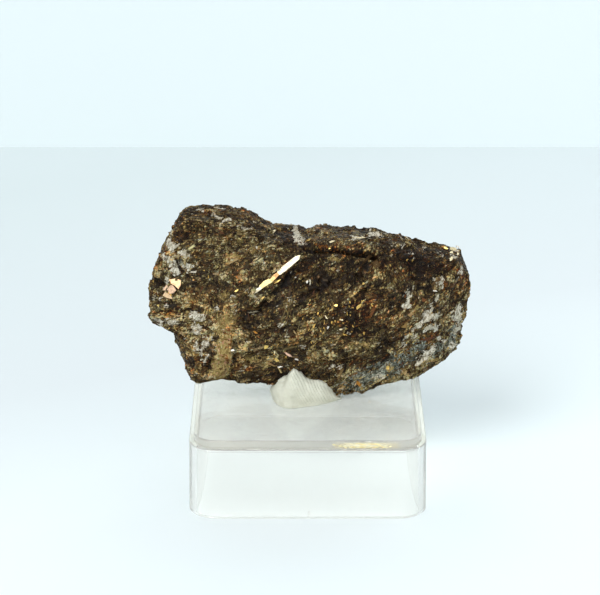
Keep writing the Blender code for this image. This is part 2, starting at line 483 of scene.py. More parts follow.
def rockGrid():
    # Two sheets, front and back, that share their rim. A square grid is bent into a disc, and the
    # disc's radius runs evenly along the slab's section from its flat middle to its rim.
    columns, rows = rock["gridAcross"], rock["gridUp"]
    a, b = np.meshgrid(np.linspace(-1, 1, columns + 1), np.linspace(-1, 1, rows + 1), indexing="ij")
    discX, discZ = a * np.sqrt(1 - b * b / 2), b * np.sqrt(1 - a * a / 2)
    fromPole = np.linspace(0, np.pi / 2, 2000)
    across = rock["halfAcross"] * np.sin(fromPole) ** rock["squareness"]
    depth = rock["halfDepth"] * np.cos(fromPole) ** rock["squareness"]
    length = np.concatenate([[0], np.cumsum(np.hypot(np.diff(across), np.diff(depth)))])
    angle = np.interp(np.hypot(discX, discZ), length / length[-1], fromPole)
    around = np.arctan2(discZ, discX)
    ahead = np.stack([np.sin(angle) * np.cos(around), -np.cos(angle), np.sin(angle) * np.sin(around)], -1)
    rim = np.ones_like(a, bool)
    rim[1:-1, 1:-1] = False
    ahead[rim, 1] = 0
    front = np.arange(a.size).reshape(a.shape)
    back = front.copy()
    back[~rim] = a.size + np.arange((~rim).sum())
    directions = np.concatenate([ahead.reshape(-1, 3), ahead[~rim] * (1, -1, 1)])
    quads = []
    for sheet, order in ((front, (0, 1, 2, 3)), (back, (0, 3, 2, 1))):
        corners = [sheet[:-1, :-1], sheet[1:, :-1], sheet[1:, 1:], sheet[:-1, 1:]]
        quads.append(np.stack([corners[i] for i in order], -1).reshape(-1, 4))
    return directions, np.concatenate(quads)


def pointNormals(points, quads):
    corners = points[quads]
    facing = np.cross(corners[:, 2] - corners[:, 0], corners[:, 3] - corners[:, 1])
    normals = np.zeros_like(points)
    for corner in range(4):
        np.add.at(normals, quads[:, corner], facing)
    return unit(normals), facing


def grainCoordinates(points):
    # x runs along the grain and z across it, in mm. The grain climbs more steeply towards +X, and
    # soft waves make it wander.
    x, y, z = ((points - np.array(rock["middle"]) * mm) / mm).T
    stray, alongX, alongZ = rock["grainWaves"]
    x = x + stray * wave(points, alongX * mm, 1.0)
    z = z + stray * wave(points, alongZ * mm, 4.0)
    along, over = turned(x, z, rock["grainTurn"] + rock["grainBend"] * x)
    return np.stack([along, y, over], axis=1)


def hashed(cells, salt):
    # a repeatable number from 0 to 1 for each whole-number cell: the fraction of a large sine
    mixed = np.sin(cells @ np.array([127.1, 311.7, 74.7]) + salt * 53.9) * 43758.5453
    return mixed - np.floor(mixed)


def nearestCells(grain, length, width, seed):
    # The scattered long cells: each point belongs to the nearest of the cell seeds. This gives the
    # cell's whole-number place, the point's own place inside it and the seed's shift.
    places = grain / (length, width, width) + seed
    base = np.floor(places)
    nearest = np.full(len(places), np.inf)
    found = [places, places, places]
    for step in product((-1, 0, 1), repeat=3):
        cell = base + step
        shift = np.stack([hashed(cell, seed + k) for k in range(3)], axis=1)
        inside = places - cell - shift
        distance = (inside**2).sum(axis=1)
        closer = distance < nearest
        nearest = np.where(closer, distance, nearest)
        found = [np.where(closer[:, None], new, old) for new, old in zip((cell, inside, shift), found)]
    return found


def cellNumbers(grain, length, width, seed):
    # three random numbers for the cell that each point lies in
    cell = nearestCells(grain, length, width, seed)[0]
    return [hashed(cell, seed + 7 + k) for k in range(3)]


def facetHeights(grain, length, width, seed):
    # long broken facets: the place in the cell along the cell's own random slope, plus the cell's own level
    cell, inside, shift = nearestCells(grain, length, width, seed)
    slope = np.stack([hashed(cell, seed + 3 + k) - 0.5 for k in range(3)], axis=1)
    return (inside * slope).sum(axis=1) * rock["facetSlant"] + (shift[:, 0] - 0.5) * rock["facetStep"]


def rockRelief(points, normals):
    # The fine relief in metres: facets of four sizes, ledges with their grooves, and pits. A ledge
    # rises above its line and fades upwards, and its groove is a bell just below the line.
    grain = grainCoordinates(points)
    x, up = seenPlane(points)
    facesFront = smoothStep(-0.1, 0.3, normals @ toEye)
    calm = 1 - rock["calmFaces"] * facesFront * patchShare(x, up, patches["smooth"], 0.4)
    calm *= 1 - rock["calmRim"] * (1 - smoothStep(0.1, 0.5, np.abs(normals[:, 1])))
    relief = rock["shrink"] + sum(
        high * facetHeights(grain, length, width, seed) * (calm if length < rock["calmBelow"] else 1)
        for length, width, high, seed in rock["facets"]
    )
    stray, over = rock["ledgeWander"]
    wander = stray * wave(points, over * mm, 3.0)
    for x0, up0, x1, up1, rise, fade, groove, width in rock["ledges"]:
        length = math.hypot(x1 - x0, up1 - up0)
        along, above = turned(x - x0, up - up0, math.degrees(math.atan2(up1 - up0, x1 - x0)))
        above = above + wander
        ends = smoothStep(-0.8, 1.2, along) * smoothStep(-0.8, 1.2, length - along) * facesFront
        lift = rise * smoothStep(-0.4, 0.5, above) * np.exp(-np.maximum(above, 0) / fade)
        relief += ends * (lift - groove * np.exp(-(((above + 0.6 * width) / width) ** 2)))
    for px, pup, radius, depth in rock["pits"]:
        relief -= facesFront * depth * np.exp(-((((x - px) ** 2 + (up - pup) ** 2) / radius**2) ** 1.5))
    return relief * mm


# where the specimen's front changes colour: (x, height across the view, length, width, turn)
patches = {
    "pale": [                        # chalky feldspar
        (-24.0, 36.4, 2.6, 1.2, -35), (-23.4, 38.6, 2.8, 1.1, -60), (-21.4, 37.6, 2.0, 1.1, -50),
        (-23.0, 35.0, 2.0, 2.8, 0), (-24.2, 32.8, 1.0, 1.7, 0), (-20.4, 34.9, 2.0, 1.5, 0),
        (-23.5, 41.0, 1.0, 1.0, 45), (-26.0, 25.7, 2.4, 1.0, 20), (-23.6, 25.9, 2.7, 1.2, -10),
        (-19.1, 26.6, 2.5, 1.7, 10), (-19.2, 25.0, 1.4, 1.0, 0), (-19.6, 24.2, 1.5, 0.8, 0),
        (-19.2, 21.2, 2.6, 1.0, -70), (-17.8, 21.5, 2.2, 0.9, 80), (-16.9, 22.3, 2.5, 0.8, 75),
        (-17.8, 19.6, 2.0, 0.6, 45), (-15.8, 43.7, 2.2, 0.6, -28), (-18.3, 44.6, 1.8, 0.6, -15),
        (-15.4, 45.0, 2.0, 0.5, -5), (-14.2, 42.9, 1.8, 0.6, 35), (-2.4, 41.3, 1.5, 2.0, 0),
        (-1.8, 39.7, 1.5, 1.5, 0), (10.7, 40.5, 2.7, 1.0, 10), (7.5, 39.9, 2.0, 0.7, 25),
        (16.7, 30.5, 2.0, 1.5, 60), (16.1, 28.9, 1.5, 1.4, 30), (21.9, 32.6, 1.7, 1.4, 40),
        (25.4, 34.5, 1.5, 1.0, 60), (21.4, 29.4, 2.0, 0.5, 85), (19.8, 27.6, 3.4, 0.6, 48),
        (20.7, 26.9, 2.4, 1.2, 20), (25.1, 27.2, 2.4, 2.0, 60), (18.5, 25.0, 1.4, 0.8, -10),
        (20.0, 25.9, 3.0, 1.0, 20), (17.0, 23.9, 2.4, 0.5, 65), (16.1, 23.2, 2.0, 0.5, 65),
        (17.8, 23.2, 2.0, 0.4, 65), (20.7, 24.4, 2.4, 0.8, 30), (25.3, 24.4, 3.7, 1.0, 70),
        (24.9, 38.2, 1.8, 1.0, -10), (24.3, 37.0, 1.2, 0.8, 50), (24.2, 21.8, 1.7, 1.4, 60),
        (20.3, 20.6, 5.4, 1.5, 42), (22.2, 22.8, 1.4, 0.8, 0),
    ],
    "veins": [                       # feldspar with more mica in it
        (-22.8, 39.4, 2.7, 0.8, -65), (-26.2, 30.0, 1.5, 1.4, 0), (-24.5, 28.6, 1.4, 1.0, 0),
        (-15.9, 27.9, 2.4, 1.2, 60), (-18.2, 23.4, 2.0, 0.5, -20), (-9.4, 42.6, 1.2, 0.4, 12),
        (-8.9, 38.6, 1.5, 0.8, -25), (-2.9, 30.0, 2.2, 1.5, 60), (-13.0, 29.9, 1.2, 1.5, 0),
        (-11.6, 29.8, 0.8, 1.5, 0), (-12.6, 27.8, 2.0, 0.8, 70), (-10.8, 30.6, 1.7, 1.0, 60),
        (-4.9, 24.9, 1.7, 1.4, 0), (-4.2, 23.7, 1.0, 1.0, 0), (-0.8, 21.2, 1.2, 0.7, 0),
        (-10.8, 22.2, 1.0, 1.0, 0), (-11.5, 17.0, 1.7, 1.0, 10), (-11.3, 15.9, 1.4, 0.7, -10),
        (13.2, 40.3, 0.7, 1.0, 0), (16.1, 40.2, 1.0, 1.0, 0), (14.4, 38.5, 1.7, 0.5, -8),
        (16.3, 38.6, 1.7, 1.0, 40), (19.6, 38.3, 1.5, 1.0, -60), (17.2, 37.0, 1.5, 0.7, -10),
        (13.8, 36.7, 0.7, 0.8, 0), (15.3, 34.8, 1.0, 0.4, 50), (22.4, 37.2, 1.4, 1.0, 0),
        (15.6, 22.0, 2.0, 1.5, 0), (13.2, 27.9, 0.8, 0.5, 70), (12.4, 15.9, 4.7, 1.0, 12),
        (4.1, 17.9, 3.4, 0.7, 10), (-11.0, 41.5, 2.7, 0.5, -8),
    ],
    "ochre": [                       # yellow-brown weathered mica
        (-14.8, 30.3, 1.4, 1.4, 0), (-14.4, 25.6, 4.8, 1.5, 84), (-14.5, 21.2, 7.6, 2.3, 78),
        (-15.3, 17.8, 5.0, 3.1, 72), (-7.9, 18.3, 1.9, 0.7, 75), (-10.0, 19.6, 1.5, 1.4, 10),
        (-13.0, 36.9, 3.4, 0.8, -15), (17.3, 27.2, 2.0, 1.2, 15), (8.8, 21.5, 4.1, 0.7, 5),
        (4.6, 36.0, 1.9, 0.5, -5), (4.2, 34.3, 0.8, 0.5, 0), (8.5, 14.9, 1.5, 0.8, -60),
        (16.5, 16.9, 1.4, 0.8, 50), (5.5, 14.2, 1.7, 0.5, 10), (13.6, 17.8, 1.2, 1.2, 0),
        (-6.6, 29.8, 1.4, 0.8, 40), (20.3, 19.5, 1.4, 0.5, 15),
    ],
    "rust": [
        (2.6, 38.4, 4.0, 0.5, -8), (-13.6, 22.4, 3.4, 0.6, 80), (-14.3, 19.7, 1.5, 0.4, -45),
        (22.5, 31.8, 1.5, 1.4, 0), (20.0, 22.9, 3.6, 0.6, 13), (2.2, 38.4, 1.4, 0.7, 0),
        (8.5, 31.5, 0.8, 0.7, 0), (-26.2, 30.6, 1.0, 0.8, -30), (-24.2, 27.1, 0.8, 0.5, 0),
        (-18.1, 23.4, 1.2, 0.7, 0),
    ],
    "paintedShade": [                        # painted shade: pits, crevices and hollows under ledges, darkened where shade falls
        (-26.0, 32.2, 2.4, 1.5, 80), (-22.3, 35.5, 2.2, 1.0, 15), (-16.7, 20.4, 9.0, 1.0, 74),
        (-12.8, 20.0, 8.0, 0.7, 84), (-13.8, 15.9, 1.5, 0.7, 0), (-20.3, 19.3, 2.0, 1.0, -65),
        (-5.7, 31.3, 11.2, 1.0, 47), (5.6, 37.6, 12.6, 0.9, -8), (-0.6, 38.6, 2.0, 1.4, -5),
        (13.7, 21.8, 3.0, 0.6, -42), (-1.6, 16.4, 11.8, 2.0, 0), (16.5, 35.9, 5.1, 1.7, -30),
        (19.5, 34.9, 3.4, 2.0, -40),
    ],
    "cool": [                        # blue-green grey
        (12.4, 17.4, 8.5, 3.0, 10), (8.0, 15.0, 7.4, 2.2, 12), (14.5, 18.6, 8.0, 2.6, 22),
        (24.6, 23.5, 5.1, 2.0, 70), (17.5, 20.6, 6.0, 1.6, 40), (22.0, 21.0, 5.0, 1.2, 40),
        (-22.3, 35.5, 2.2, 1.0, 15),
    ],
    "smooth": [                      # whole faces with no chips on them
        (-15.4, 19.0, 9.0, 2.2, 72), (12.6, 17.0, 6.0, 2.0, 8), (20.6, 22.0, 5.0, 1.2, 42),
        (-20.5, 34.9, 1.6, 1.2, 0), (-26.0, 32.2, 2.4, 1.6, 80), (7.0, 40.4, 6.0, 1.4, 5),
    ],
    "warm": [                        # redder brown
        (3.0, 38.6, 10.0, 2.4, -5), (-9.0, 44.6, 9.0, 2.6, -22), (18.5, 35.5, 7.0, 5.0, -20),
        (24.6, 32.5, 4.0, 6.0, 0), (8.0, 27.5, 9.0, 6.0, 20), (-20.0, 19.5, 5.0, 6.0, 0),
        (-24.5, 38.5, 2.0, 9.0, -25),
    ],
    "glitter": [                     # where most of the small golden plates catch the light
        (-4.9, 20.6, 5.1, 4.1, 0), (6.5, 28.1, 6.1, 4.1, 0), (2.1, 24.4, 10.2, 5.1, 0),
        (24.6, 37.9, 2.4, 1.7, 0), (-23.3, 31.6, 2.7, 2.4, 0),
    ],
}  # fmt: skip
# broad changes of brightness over the front: (x, height, half width, half height, how much lighter)
tones = [
    (-22.0, 34.0, 7.0, 12.0, 0.05), (-16.0, 25.0, 6.0, 8.0, 0.15), (-12.0, 39.0, 9.0, 6.0, 0.1),
    (2.0, 34.0, 8.0, 6.0, -0.12), (19.0, 35.5, 4.0, 3.0, -0.14), (8.5, 24.0, 3.5, 2.5, -0.16),
    (24.0, 27.0, 4.0, 6.0, 0.08), (8.0, 41.5, 10.0, 2.0, -0.09), (20.0, 20.0, 6.0, 3.0, 0.06),
    (-14.0, 25.0, 2.0, 8.0, 0.1), (-7.0, 19.5, 4.0, 3.0, 0.08), (-11.0, 26.0, 2.5, 2.0, -0.1),
    (-17.0, 32.0, 3.0, 2.5, -0.1), (11.0, 15.8, 5.5, 1.8, 0.16), (-14.0, 20.0, 1.5, 4.0, 0.08),
    (-18.0, 19.5, 4.0, 4.0, 0.08), (2.0, 19.5, 9.0, 3.0, 0.07), (3.0, 27.0, 8.0, 5.0, 0.05),
]

marking = {
    # how far the patches' edges stray, over what length, and the shift of the pattern
    "ragged": [(0.5, 1.5, 1.7), (0.3, 0.6, 0.3)],
    "soft": 0.4, "paleSoft": 0.55,   # half the width of a patch's soft edge, as a share of its radius
    # long cells with values of their own, which the patches behind follow too: length, width, seed
    "zones": (2.3, 1.5, 21.0), "cells": (1.1, 0.7, 27.0), "behind": (4.5, 2.0, 33.0),
    "veinPaleness": 0.4,
    # what each adds to the brightness, and to the warmth; the relief's share is painted shade in hollows and
    # painted light on raised parts, and the top's share is painted shade on faces that look up
    "zoneTone": 0.25, "cellTone": 0.28, "paintedReliefShade": 0.22, "lumpTone": 0.04, "paintedTopShade": -0.08,
    "warmth": 0.12, "zoneWarmth": 0.56, "cellWarmth": 0.4, "patchWarmth": 0.3,
}


def patchShare(x, up, rows, soft):
    # 1 inside each ellipse, falling to 0 at its edge
    share = np.zeros(len(x))
    for px, pup, length, width, turn in rows:
        along, over = turned(x - px, up - pup, turn)
        far = np.sqrt((along / (length / 2)) ** 2 + (over / (width / 2)) ** 2)
        share = np.maximum(share, 1 - smoothStep(1 - soft, 1 + soft, far))
    return share


def rockValues(points, normals, relief):
    # the named values that the finish reads: the patches on the front, and a like scatter behind
    x, up = seenPlane(points)
    front = smoothStep(-0.05, 0.25, normals @ toEye)
    ragged = waves(points, marking["ragged"])
    grain = grainCoordinates(points) + 0.35 * wave(points, 0.7 * mm, 2.2)[:, None]
    length, width, seed = marking["behind"]
    values = {}
    for number, (name, rows) in enumerate(patches.items()):
        soft = marking["paleSoft" if name in ("pale", "veins") else "soft"]
        own = patchShare(x + ragged, up - ragged, rows, soft)
        hidden = cellNumbers(grain, length, width, seed + number)
        behind = smoothStep(0.80, 0.90, hidden[0]) * (0.2 + 0.5 * hidden[1])
        values[name] = own * front + behind * (1 - front)
    values["pale"] = np.maximum(values["pale"], marking["veinPaleness"] * values.pop("veins"))
    zone = cellNumbers(grain, *marking["zones"])
    small = cellNumbers(grain, *marking["cells"])
    # painted shade and light: the relief's low parts are darker and its raised parts lighter
    toneAndPaintedShade = marking["lumpTone"] * wave(points, 3.0 * mm, 5.0) + marking["paintedReliefShade"] * relief / mm
    toneAndPaintedShade += marking["zoneTone"] * (zone[0] - 0.5) + marking["cellTone"] * (small[0] - 0.5)
    for px, pup, wide, high, lighter in tones:
        toneAndPaintedShade += lighter * np.exp(-(((x - px) / wide) ** 2) - ((up - pup) / high) ** 2) * front
    # painted shade: faces that look up are made darker
    values["toneAndPaintedShade"] = toneAndPaintedShade + marking["paintedTopShade"] * smoothStep(0.3, 0.85, normals[:, 2])
    warmth = marking["warmth"] + marking["zoneWarmth"] * zone[1] + marking["cellWarmth"] * (small[1] - 0.5)
    values["warmth"] = warmth + marking["patchWarmth"] * values.pop("warm")
    return values


# the specimen's finish
stone = {
    # three sizes of long cells: length, width, turn in radians, seed, share of the brightness, facet height
    "cells": [
        (1.7, 0.6, 0.1, 3.0, 0.14, 0.10), (0.8, 0.26, -0.25, 11.0, 0.40, 0.09),
        (0.45, 0.2, 0.95, 23.0, 0.46, 0.06),
    ],
    "contrast": 0.86, "darkest": 0.15,   # from the cells' chance to their place among the browns
    "browns": [                      # from the darkest cells to the lightest
        (0.20, paint(24, 15, 7)), (0.34, paint(38, 27, 14)), (0.46, paint(55, 42, 24)),
        (0.55, paint(71, 57, 35)), (0.63, paint(92, 77, 47)), (0.71, paint(121, 104, 67)),
        (0.79, paint(156, 139, 95)), (0.88, paint(204, 190, 146)),
    ],
    "warmSpread": 0.7,
    "tints": [                       # from the greyest cells to the rustiest
        (-0.1, (0.88, 0.97, 1.08, 1)), (0.2, (0.96, 1.0, 1.0, 1)), (0.45, (1.0, 1.0, 0.88, 1)),
        (0.7, (1.10, 0.98, 0.76, 1)), (0.9, (1.26, 0.86, 0.56, 1)), (1.15, (1.5, 0.68, 0.36, 1)),
    ],
    "hues": [                        # from bluish to reddish, by chance alone
        (0.1, (0.90, 1.02, 1.26, 1)), (0.35, (0.98, 1.02, 1.14, 1)), (0.6, (1.0, 1.05, 0.92, 1)),
        (0.85, (1.18, 0.98, 0.84, 1)), (1.0, (1.18, 0.88, 0.94, 1)),
    ],
    # what cells turn into: the most of them, the least of them, how fully, and the colours it has
    "kinds": {
        "cool": (0.78, 0.01, 1.0, [
            (0.0, paint(49, 50, 41)), (0.35, paint(82, 85, 72)), (0.7, paint(118, 121, 106)),
            (1.0, paint(172, 176, 160)),
        ]),
        "ochre": (0.94, 0.02, 1.0, [
            (0.0, paint(112, 91, 48)), (0.4, paint(148, 128, 74)), (0.75, paint(172, 154, 98)),
            (1.0, paint(172, 126, 98)),
        ]),
        "rust": (0.8, 0.03, 1.0, [(0.0, paint(64, 37, 12)), (1.0, paint(132, 82, 28))]),
        "pale": (0.9, 0.03, 0.94, [
            (0.0, paint(118, 108, 84)), (0.2, paint(170, 161, 136)), (0.5, paint(204, 198, 178)),
            (1.0, paint(232, 228, 212)),
        ]),
    },
    # painted shade: the tint that darkens cells in the pits, crevices and hollows
    "paintedShadeMost": 0.9, "paintedShadeTint": (0.38, 0.36, 0.36, 1),
    # painted shade: dark lines in the gaps between the fine and the cross cells, weaker on feldspar and ochre
    "paintedGapShades": [(0.45, 0.85), (0.5, 0.9)], "paintedGapShadeTint": (0.35, 0.3, 0.26, 1), "paintedGapShadeMost": 0.6, "paintedGapShadeLess": -0.35,
    "goldMost": 0.05, "goldLeast": 0.0015, "gold": paint(232, 190, 104), "goldMetal": 0.9,
    "roughness": (0.34, 0.62), "shine": 0.14,
}  # fmt: skip


def stoneMaterial():
    # Three sizes of long cells along the bent grain give the colours and the facets. The named values
    # turn cells into feldspar, ochre, rust or gold where the specimen has them.
    material, tree, shader = newMaterial("bronzeStone", {"Specular IOR Level": stone["shine"]})

    def cellShare(name, chance, most, least=0.0, soft=0.03):
        # whole cells switch over: the least share of them at 0, and up to the most where the value is 1
        share = calc(tree, "MULTIPLY_ADD", named(tree, name), most, least)
        return spread(tree, calc(tree, "SUBTRACT", chance, share), soft, -soft)

    grain = named(tree, "grain", "Vector")
    cells, chances, levels, heights = [], [], [], []
    for length, width, turn, seed, weight, high in stone["cells"]:
        made = useGroup(tree, grainCells, Vector=grain, Length=length, Width=width, Turn=turn, Seed=seed)
        chance = addNode(tree, "SeparateColor", {"Color": made["Colour"]}).outputs
        cells.append(made)
        chances.append(chance)
        levels.append((chance[0], weight))
        heights.append((made["Facet"], high))
    coarse, fine, cross = chances
    level = calc(tree, "MULTIPLY_ADD", weighted(tree, levels), stone["contrast"], stone["darkest"])
    # each cell's brown comes from its level and the point's tone, which holds painted shade
    colour = ramp(tree, calc(tree, "ADD", level, named(tree, "toneAndPaintedShade")), stone["browns"])
    warmth = calc(tree, "SUBTRACT", fine[1], 0.5)
    warmth = calc(tree, "MULTIPLY_ADD", warmth, stone["warmSpread"], named(tree, "warmth"))
    for place, stops in ((warmth, stone["tints"]), (cross[2], stone["hues"])):
        colour = blendColour(tree, 1.0, colour, ramp(tree, place, stops), "MULTIPLY")

    paleChance = weighted(tree, [(fine[2], 0.4), (coarse[2], 0.6)])
    deciders = {"cool": fine[1], "ochre": cross[0], "rust": fine[1], "pale": paleChance}
    lightness = {"cool": calc(tree, "ADD", cross[0], named(tree, "toneAndPaintedShade"))}
    shares = {}
    for name, (most, least, cover, stops) in stone["kinds"].items():
        shares[name] = cellShare(name, deciders[name], most, least)
        own = ramp(tree, lightness.get(name, cross[1]), stops)
        colour = blendColour(tree, calc(tree, "MULTIPLY", shares[name], cover), colour, own)
    # painted shade: whole cells are darkened in the pits, crevices and hollows
    paintedShade = cellShare("paintedShade", cross[1], stone["paintedShadeMost"])
    colour = blendColour(tree, paintedShade, colour, stone["paintedShadeTint"], "MULTIPLY")
    # painted shade in the gaps between cells: the rim of each cell is darkened
    paintedGapShades = [spread(tree, made["Rim"], *limits) for made, limits in zip(cells[1:], stone["paintedGapShades"])]
    bright = calc(tree, "MAXIMUM", shares["pale"], shares["ochre"])
    paintedGapShadeShare = calc(tree, "MULTIPLY_ADD", bright, stone["paintedGapShadeLess"], stone["paintedGapShadeMost"])
    rim = calc(tree, "MULTIPLY", calc(tree, "MAXIMUM", *paintedGapShades), paintedGapShadeShare)
    colour = blendColour(tree, rim, colour, stone["paintedGapShadeTint"], "MULTIPLY")
    gold = cellShare("glitter", cross[2], stone["goldMost"], stone["goldLeast"], 0.002)
    gold = calc(tree, "MULTIPLY", gold, calc(tree, "SUBTRACT", 1.0, shares["pale"]))
    plug(tree, shader.inputs["Base Color"], blendColour(tree, gold, colour, stone["gold"]))
    plug(tree, shader.inputs["Metallic"], calc(tree, "MULTIPLY", gold, stone["goldMetal"]))
    plug(tree, shader.inputs["Roughness"], spread(tree, fine[1], 0.0, 1.0, *stone["roughness"]))
    bumpFrom(tree, shader, calc(tree, "MULTIPLY", weighted(tree, heights), mm))
    return material


def makeRock():
    directions, quads = rockGrid()
    base = rockPoints(directions)
    baseNormals = pointNormals(base, quads)[0]
    relief = rockRelief(base, baseNormals)
    points = base + baseNormals * relief[:, None]
    normals, facing = pointNormals(points, quads)
    mesh = makeMesh("specimen", points, quads)
    mesh.shade_smooth()
    setValues(mesh, "grain", grainCoordinates(points))
    values = rockValues(points, baseNormals, relief)
    for name in ("pale", "ochre", "rust", "paintedShade", "cool", "glitter", "toneAndPaintedShade", "warmth"):
        setValues(mesh, name, values[name])
    addPiece("specimen", mesh, stoneMaterial(), "astrophyllite")
    print("specimen:", len(quads) * 2, "triangles")
    return points, quads, normals, facing, values, baseNormals


rockSurface = makeRock()


# the chips: flat blades of mica and feldspar, sunk in the surface along its grain
chips = {
    "seed": 7,
    "swirl": 55.0, "swirlWidth": 3.2,    # how far the grain turns from place to place, over what length
    "bends": (0.22, 0.5),            # none where the even surface turns faster than this, per mm
    "largeFacing": 0.88, "largeInside": 1.8,   # the large ones: how squarely to Y, how far from the outline
    "edgeFacing": 0.6, "edgeInside": 1.0,      # what counts as the edge, where they are small, deep and flat
    "edgeShare": 0.7, "edgeLength": 0.5, "edgeSink": 0.35,
    # The small chips, and then the large blades: (name of the piece, count, length, width, thickness,
    # spread of turn, share that lie any way, pitch, roll, lift);
    # a length or width is its middle value, its spread in powers of e, its least and its most
    "sizes": [
        ("pale", 15600, (0.55, 0.42, 0.22, 1.4), (0.24, 0.35, 0.10, 0.5), (0.09, 0.18),
         34.0, 0.25, 7.0, 14.0, (-0.65, -0.05)),
        ("pale.001", 1300, (1.4, 0.38, 0.8, 2.8), (0.62, 0.30, 0.35, 1.2), (0.22, 0.42),
         34.0, 0.2, 4.0, 9.0, (-0.55, -0.3)),
    ],
    "tapers": [(0.15, 1.0), (0.15, 1.0), (-0.5, 0.5)],   # how narrow each end is, and the slant
    "topLength": 0.82, "topWidth": 0.72,     # the upper face's size against the lower one's
    "evenLeast": 0.8,                # how squarely the fine surface has to face the way of the broad one
    "smoothSpared": 0.9, "paleSpared": 0.7,    # the share left out on whole faces and on feldspar
    "follow": 0.6, "edgeFollow": 0.4,    # up to this length they lie on the fine surface; less at the edge
    # the third value: how much darker the chips are in the painted shade of pits and crevices
    "level": 0.55, "levelSpread": 0.09, "paintedShadeDepth": 0.12, "warmSpread": 0.4, "largeWarmSpread": 0.12,
    "hues": ((0.93, 0.95, 0.80), (1.15, 1.05, 1.2)),
    "clean": 0.55, "cleanMetal": (0.25, 0.7),  # the share that are clean mica, and how metallic those are
    # what chips turn into: the most of them, the least of them, how metallic, and their two end colours
    "kinds": {
        "cool": (0.7, 0.0, 0.0, (50, 54, 50), (134, 142, 134)),
        "ochre": (0.6, 0.01, 0.0, (94, 76, 38), (160, 140, 84)),
        "rust": (0.5, 0.02, 0.0, (60, 34, 18), (116, 72, 36)),
        "pale": (0.6, 0.006, 0.0, (120, 112, 90), (204, 196, 172)),
        "glitter": (0.035, 0.0015, 0.9, (190, 140, 70), (246, 222, 160)),
    },
}  # fmt: skip
mica = {
    "shine": 0.2, "roughness": (0.5, 0.3),       # from plain blades to golden ones
    "streaks": (0.6, 0.10, 31.0),    # length, width, seed of the long cells that shade it
    "streakShade": (0.72, 1.2), "streakHeight": 0.03,
}


def sized(random, middle, spreadOut, least, most, count):
    return np.clip(middle * np.exp(spreadOut * random.standard_normal(count)), least, most)


def rotated(vectors, axes, degrees):
    # Rodrigues' turn of each vector about its own axis
    turn = np.radians(degrees)[:, None]
    across = np.cross(axes, vectors)
    along = axes * (axes * vectors).sum(1, keepdims=True)
    return vectors * np.cos(turn) + across * np.sin(turn) + along * (1 - np.cos(turn))


def frames(normals, headings, random, turnSpread, anyWay, pitch, roll):
    # three directions for each blade: along it, across it and out of it
    count = len(normals)
    out = normals
    ahead = unit(headings - out * (headings * out).sum(1, keepdims=True))
    swing = turnSpread * random.standard_normal(count)
    swing = np.where(random.random(count) < anyWay, random.uniform(-90, 90, count), swing)
    ahead = rotated(ahead, out, swing)
    side = np.cross(out, ahead)
    ahead = rotated(ahead, side, pitch * random.standard_normal(count))
    out = np.cross(ahead, side)
    side = rotated(side, ahead, roll * random.standard_normal(count))
    return ahead, side, np.cross(ahead, side)


def chiselMesh(name, centres, ways, lengths, widths, heights, tapers, lift):
    # A flat bar with slanted ends: eight corners each, its upper face shorter and narrower than its lower.
    # Each end's two corners are drawn in by its own taper.
    along = np.array([-1, -1, 1, 1, -1, -1, 1, 1]) / 2
    over = np.array([-1, 1, 1, -1, -1, 1, 1, -1]) / 2
    high = np.array([-1, -1, -1, -1, 1, 1, 1, 1]) / 2
    short = np.where(high > 0, chips["topLength"], 1.0)
    narrow = np.where(high > 0, chips["topWidth"], 1.0)
    ends = np.where(along[None, :] < 0, tapers[:, :1], tapers[:, 1:2])
    slant = 1 + tapers[:, 2:3] * over[None, :] * np.sign(along)[None, :]
    local = [
        lengths[:, None] * (along * short)[None, :] * slant,
        widths[:, None] * (over * narrow)[None, :] * ends,
        heights[:, None] * (high[None, :] + lift[:, None]),
    ]
    offsets = sum(part[:, :, None] * way[:, None, :] for part, way in zip(local, ways))
    box = np.array([[0, 1, 2, 3], [4, 7, 6, 5], [0, 4, 5, 1], [2, 6, 7, 3], [1, 5, 6, 2], [0, 3, 7, 4]])
    faces = (box[None] + 8 * np.arange(len(centres))[:, None, None]).reshape(-1, 4)
    return makeMesh(name, (centres[:, None, :] + offsets).reshape(-1, 3), faces[:, ::-1])


def mixRows(stops, levels):
    # the colour of each level between the nearest stops
    places = [place for place, colour in stops]
    channels = zip(*(colour for place, colour in stops))
    return np.stack([np.interp(levels, places, channel) for channel in channels], axis=1)


def betweenColours(first, last, levels):
    return mixRows([(0.0, paint(*first)), (1.0, paint(*last))], levels)


def bladeMaterial():
    # satin mica: each blade's own colour, streaked along it, and a metal sheen on the golden ones
    material, tree, shader = newMaterial("micaBlades", {"Specular IOR Level": mica["shine"]})
    own = named(tree, "colour", "Color")
    metal = named(tree, "metal")
    grain = named(tree, "grain", "Vector")
    length, width, seed = mica["streaks"]
    streaks = useGroup(tree, grainCells, Vector=grain, Length=length, Width=width, Turn=0.0, Seed=seed)
    shade = addNode(tree, "SeparateColor", {"Color": streaks["Colour"]}).outputs[0]
    shade = spread(tree, shade, 0, 1, *mica["streakShade"])
    grey = addNode(tree, "CombineColor", {"Red": shade, "Green": shade, "Blue": shade}).outputs[0]
    plug(tree, shader.inputs["Base Color"], blendColour(tree, 1.0, own, grey, "MULTIPLY"))
    plug(tree, shader.inputs["Metallic"], metal)
    plug(tree, shader.inputs["Roughness"], spread(tree, metal, 0.0, 0.9, *mica["roughness"]))
    bumpFrom(tree, shader, calc(tree, "MULTIPLY", streaks["Facet"], mica["streakHeight"] * mm))
    return material


def addBlades(name, mesh, colours, metal, grain):
    mesh.shade_flat()
    setValues(mesh, "colour", colours)
    setValues(mesh, "metal", metal)
    setValues(mesh, "grain", grain)
    addPiece(name, mesh, micaMaterial)


def insideRim(points):
    # how far inside the outline each point lies, in mm
    across, rise = points[:, 0], points[:, 2] - rock["middle"][2] * mm
    return (outlineRadius(np.arctan2(rise, across)) - np.hypot(across, rise)) / mm


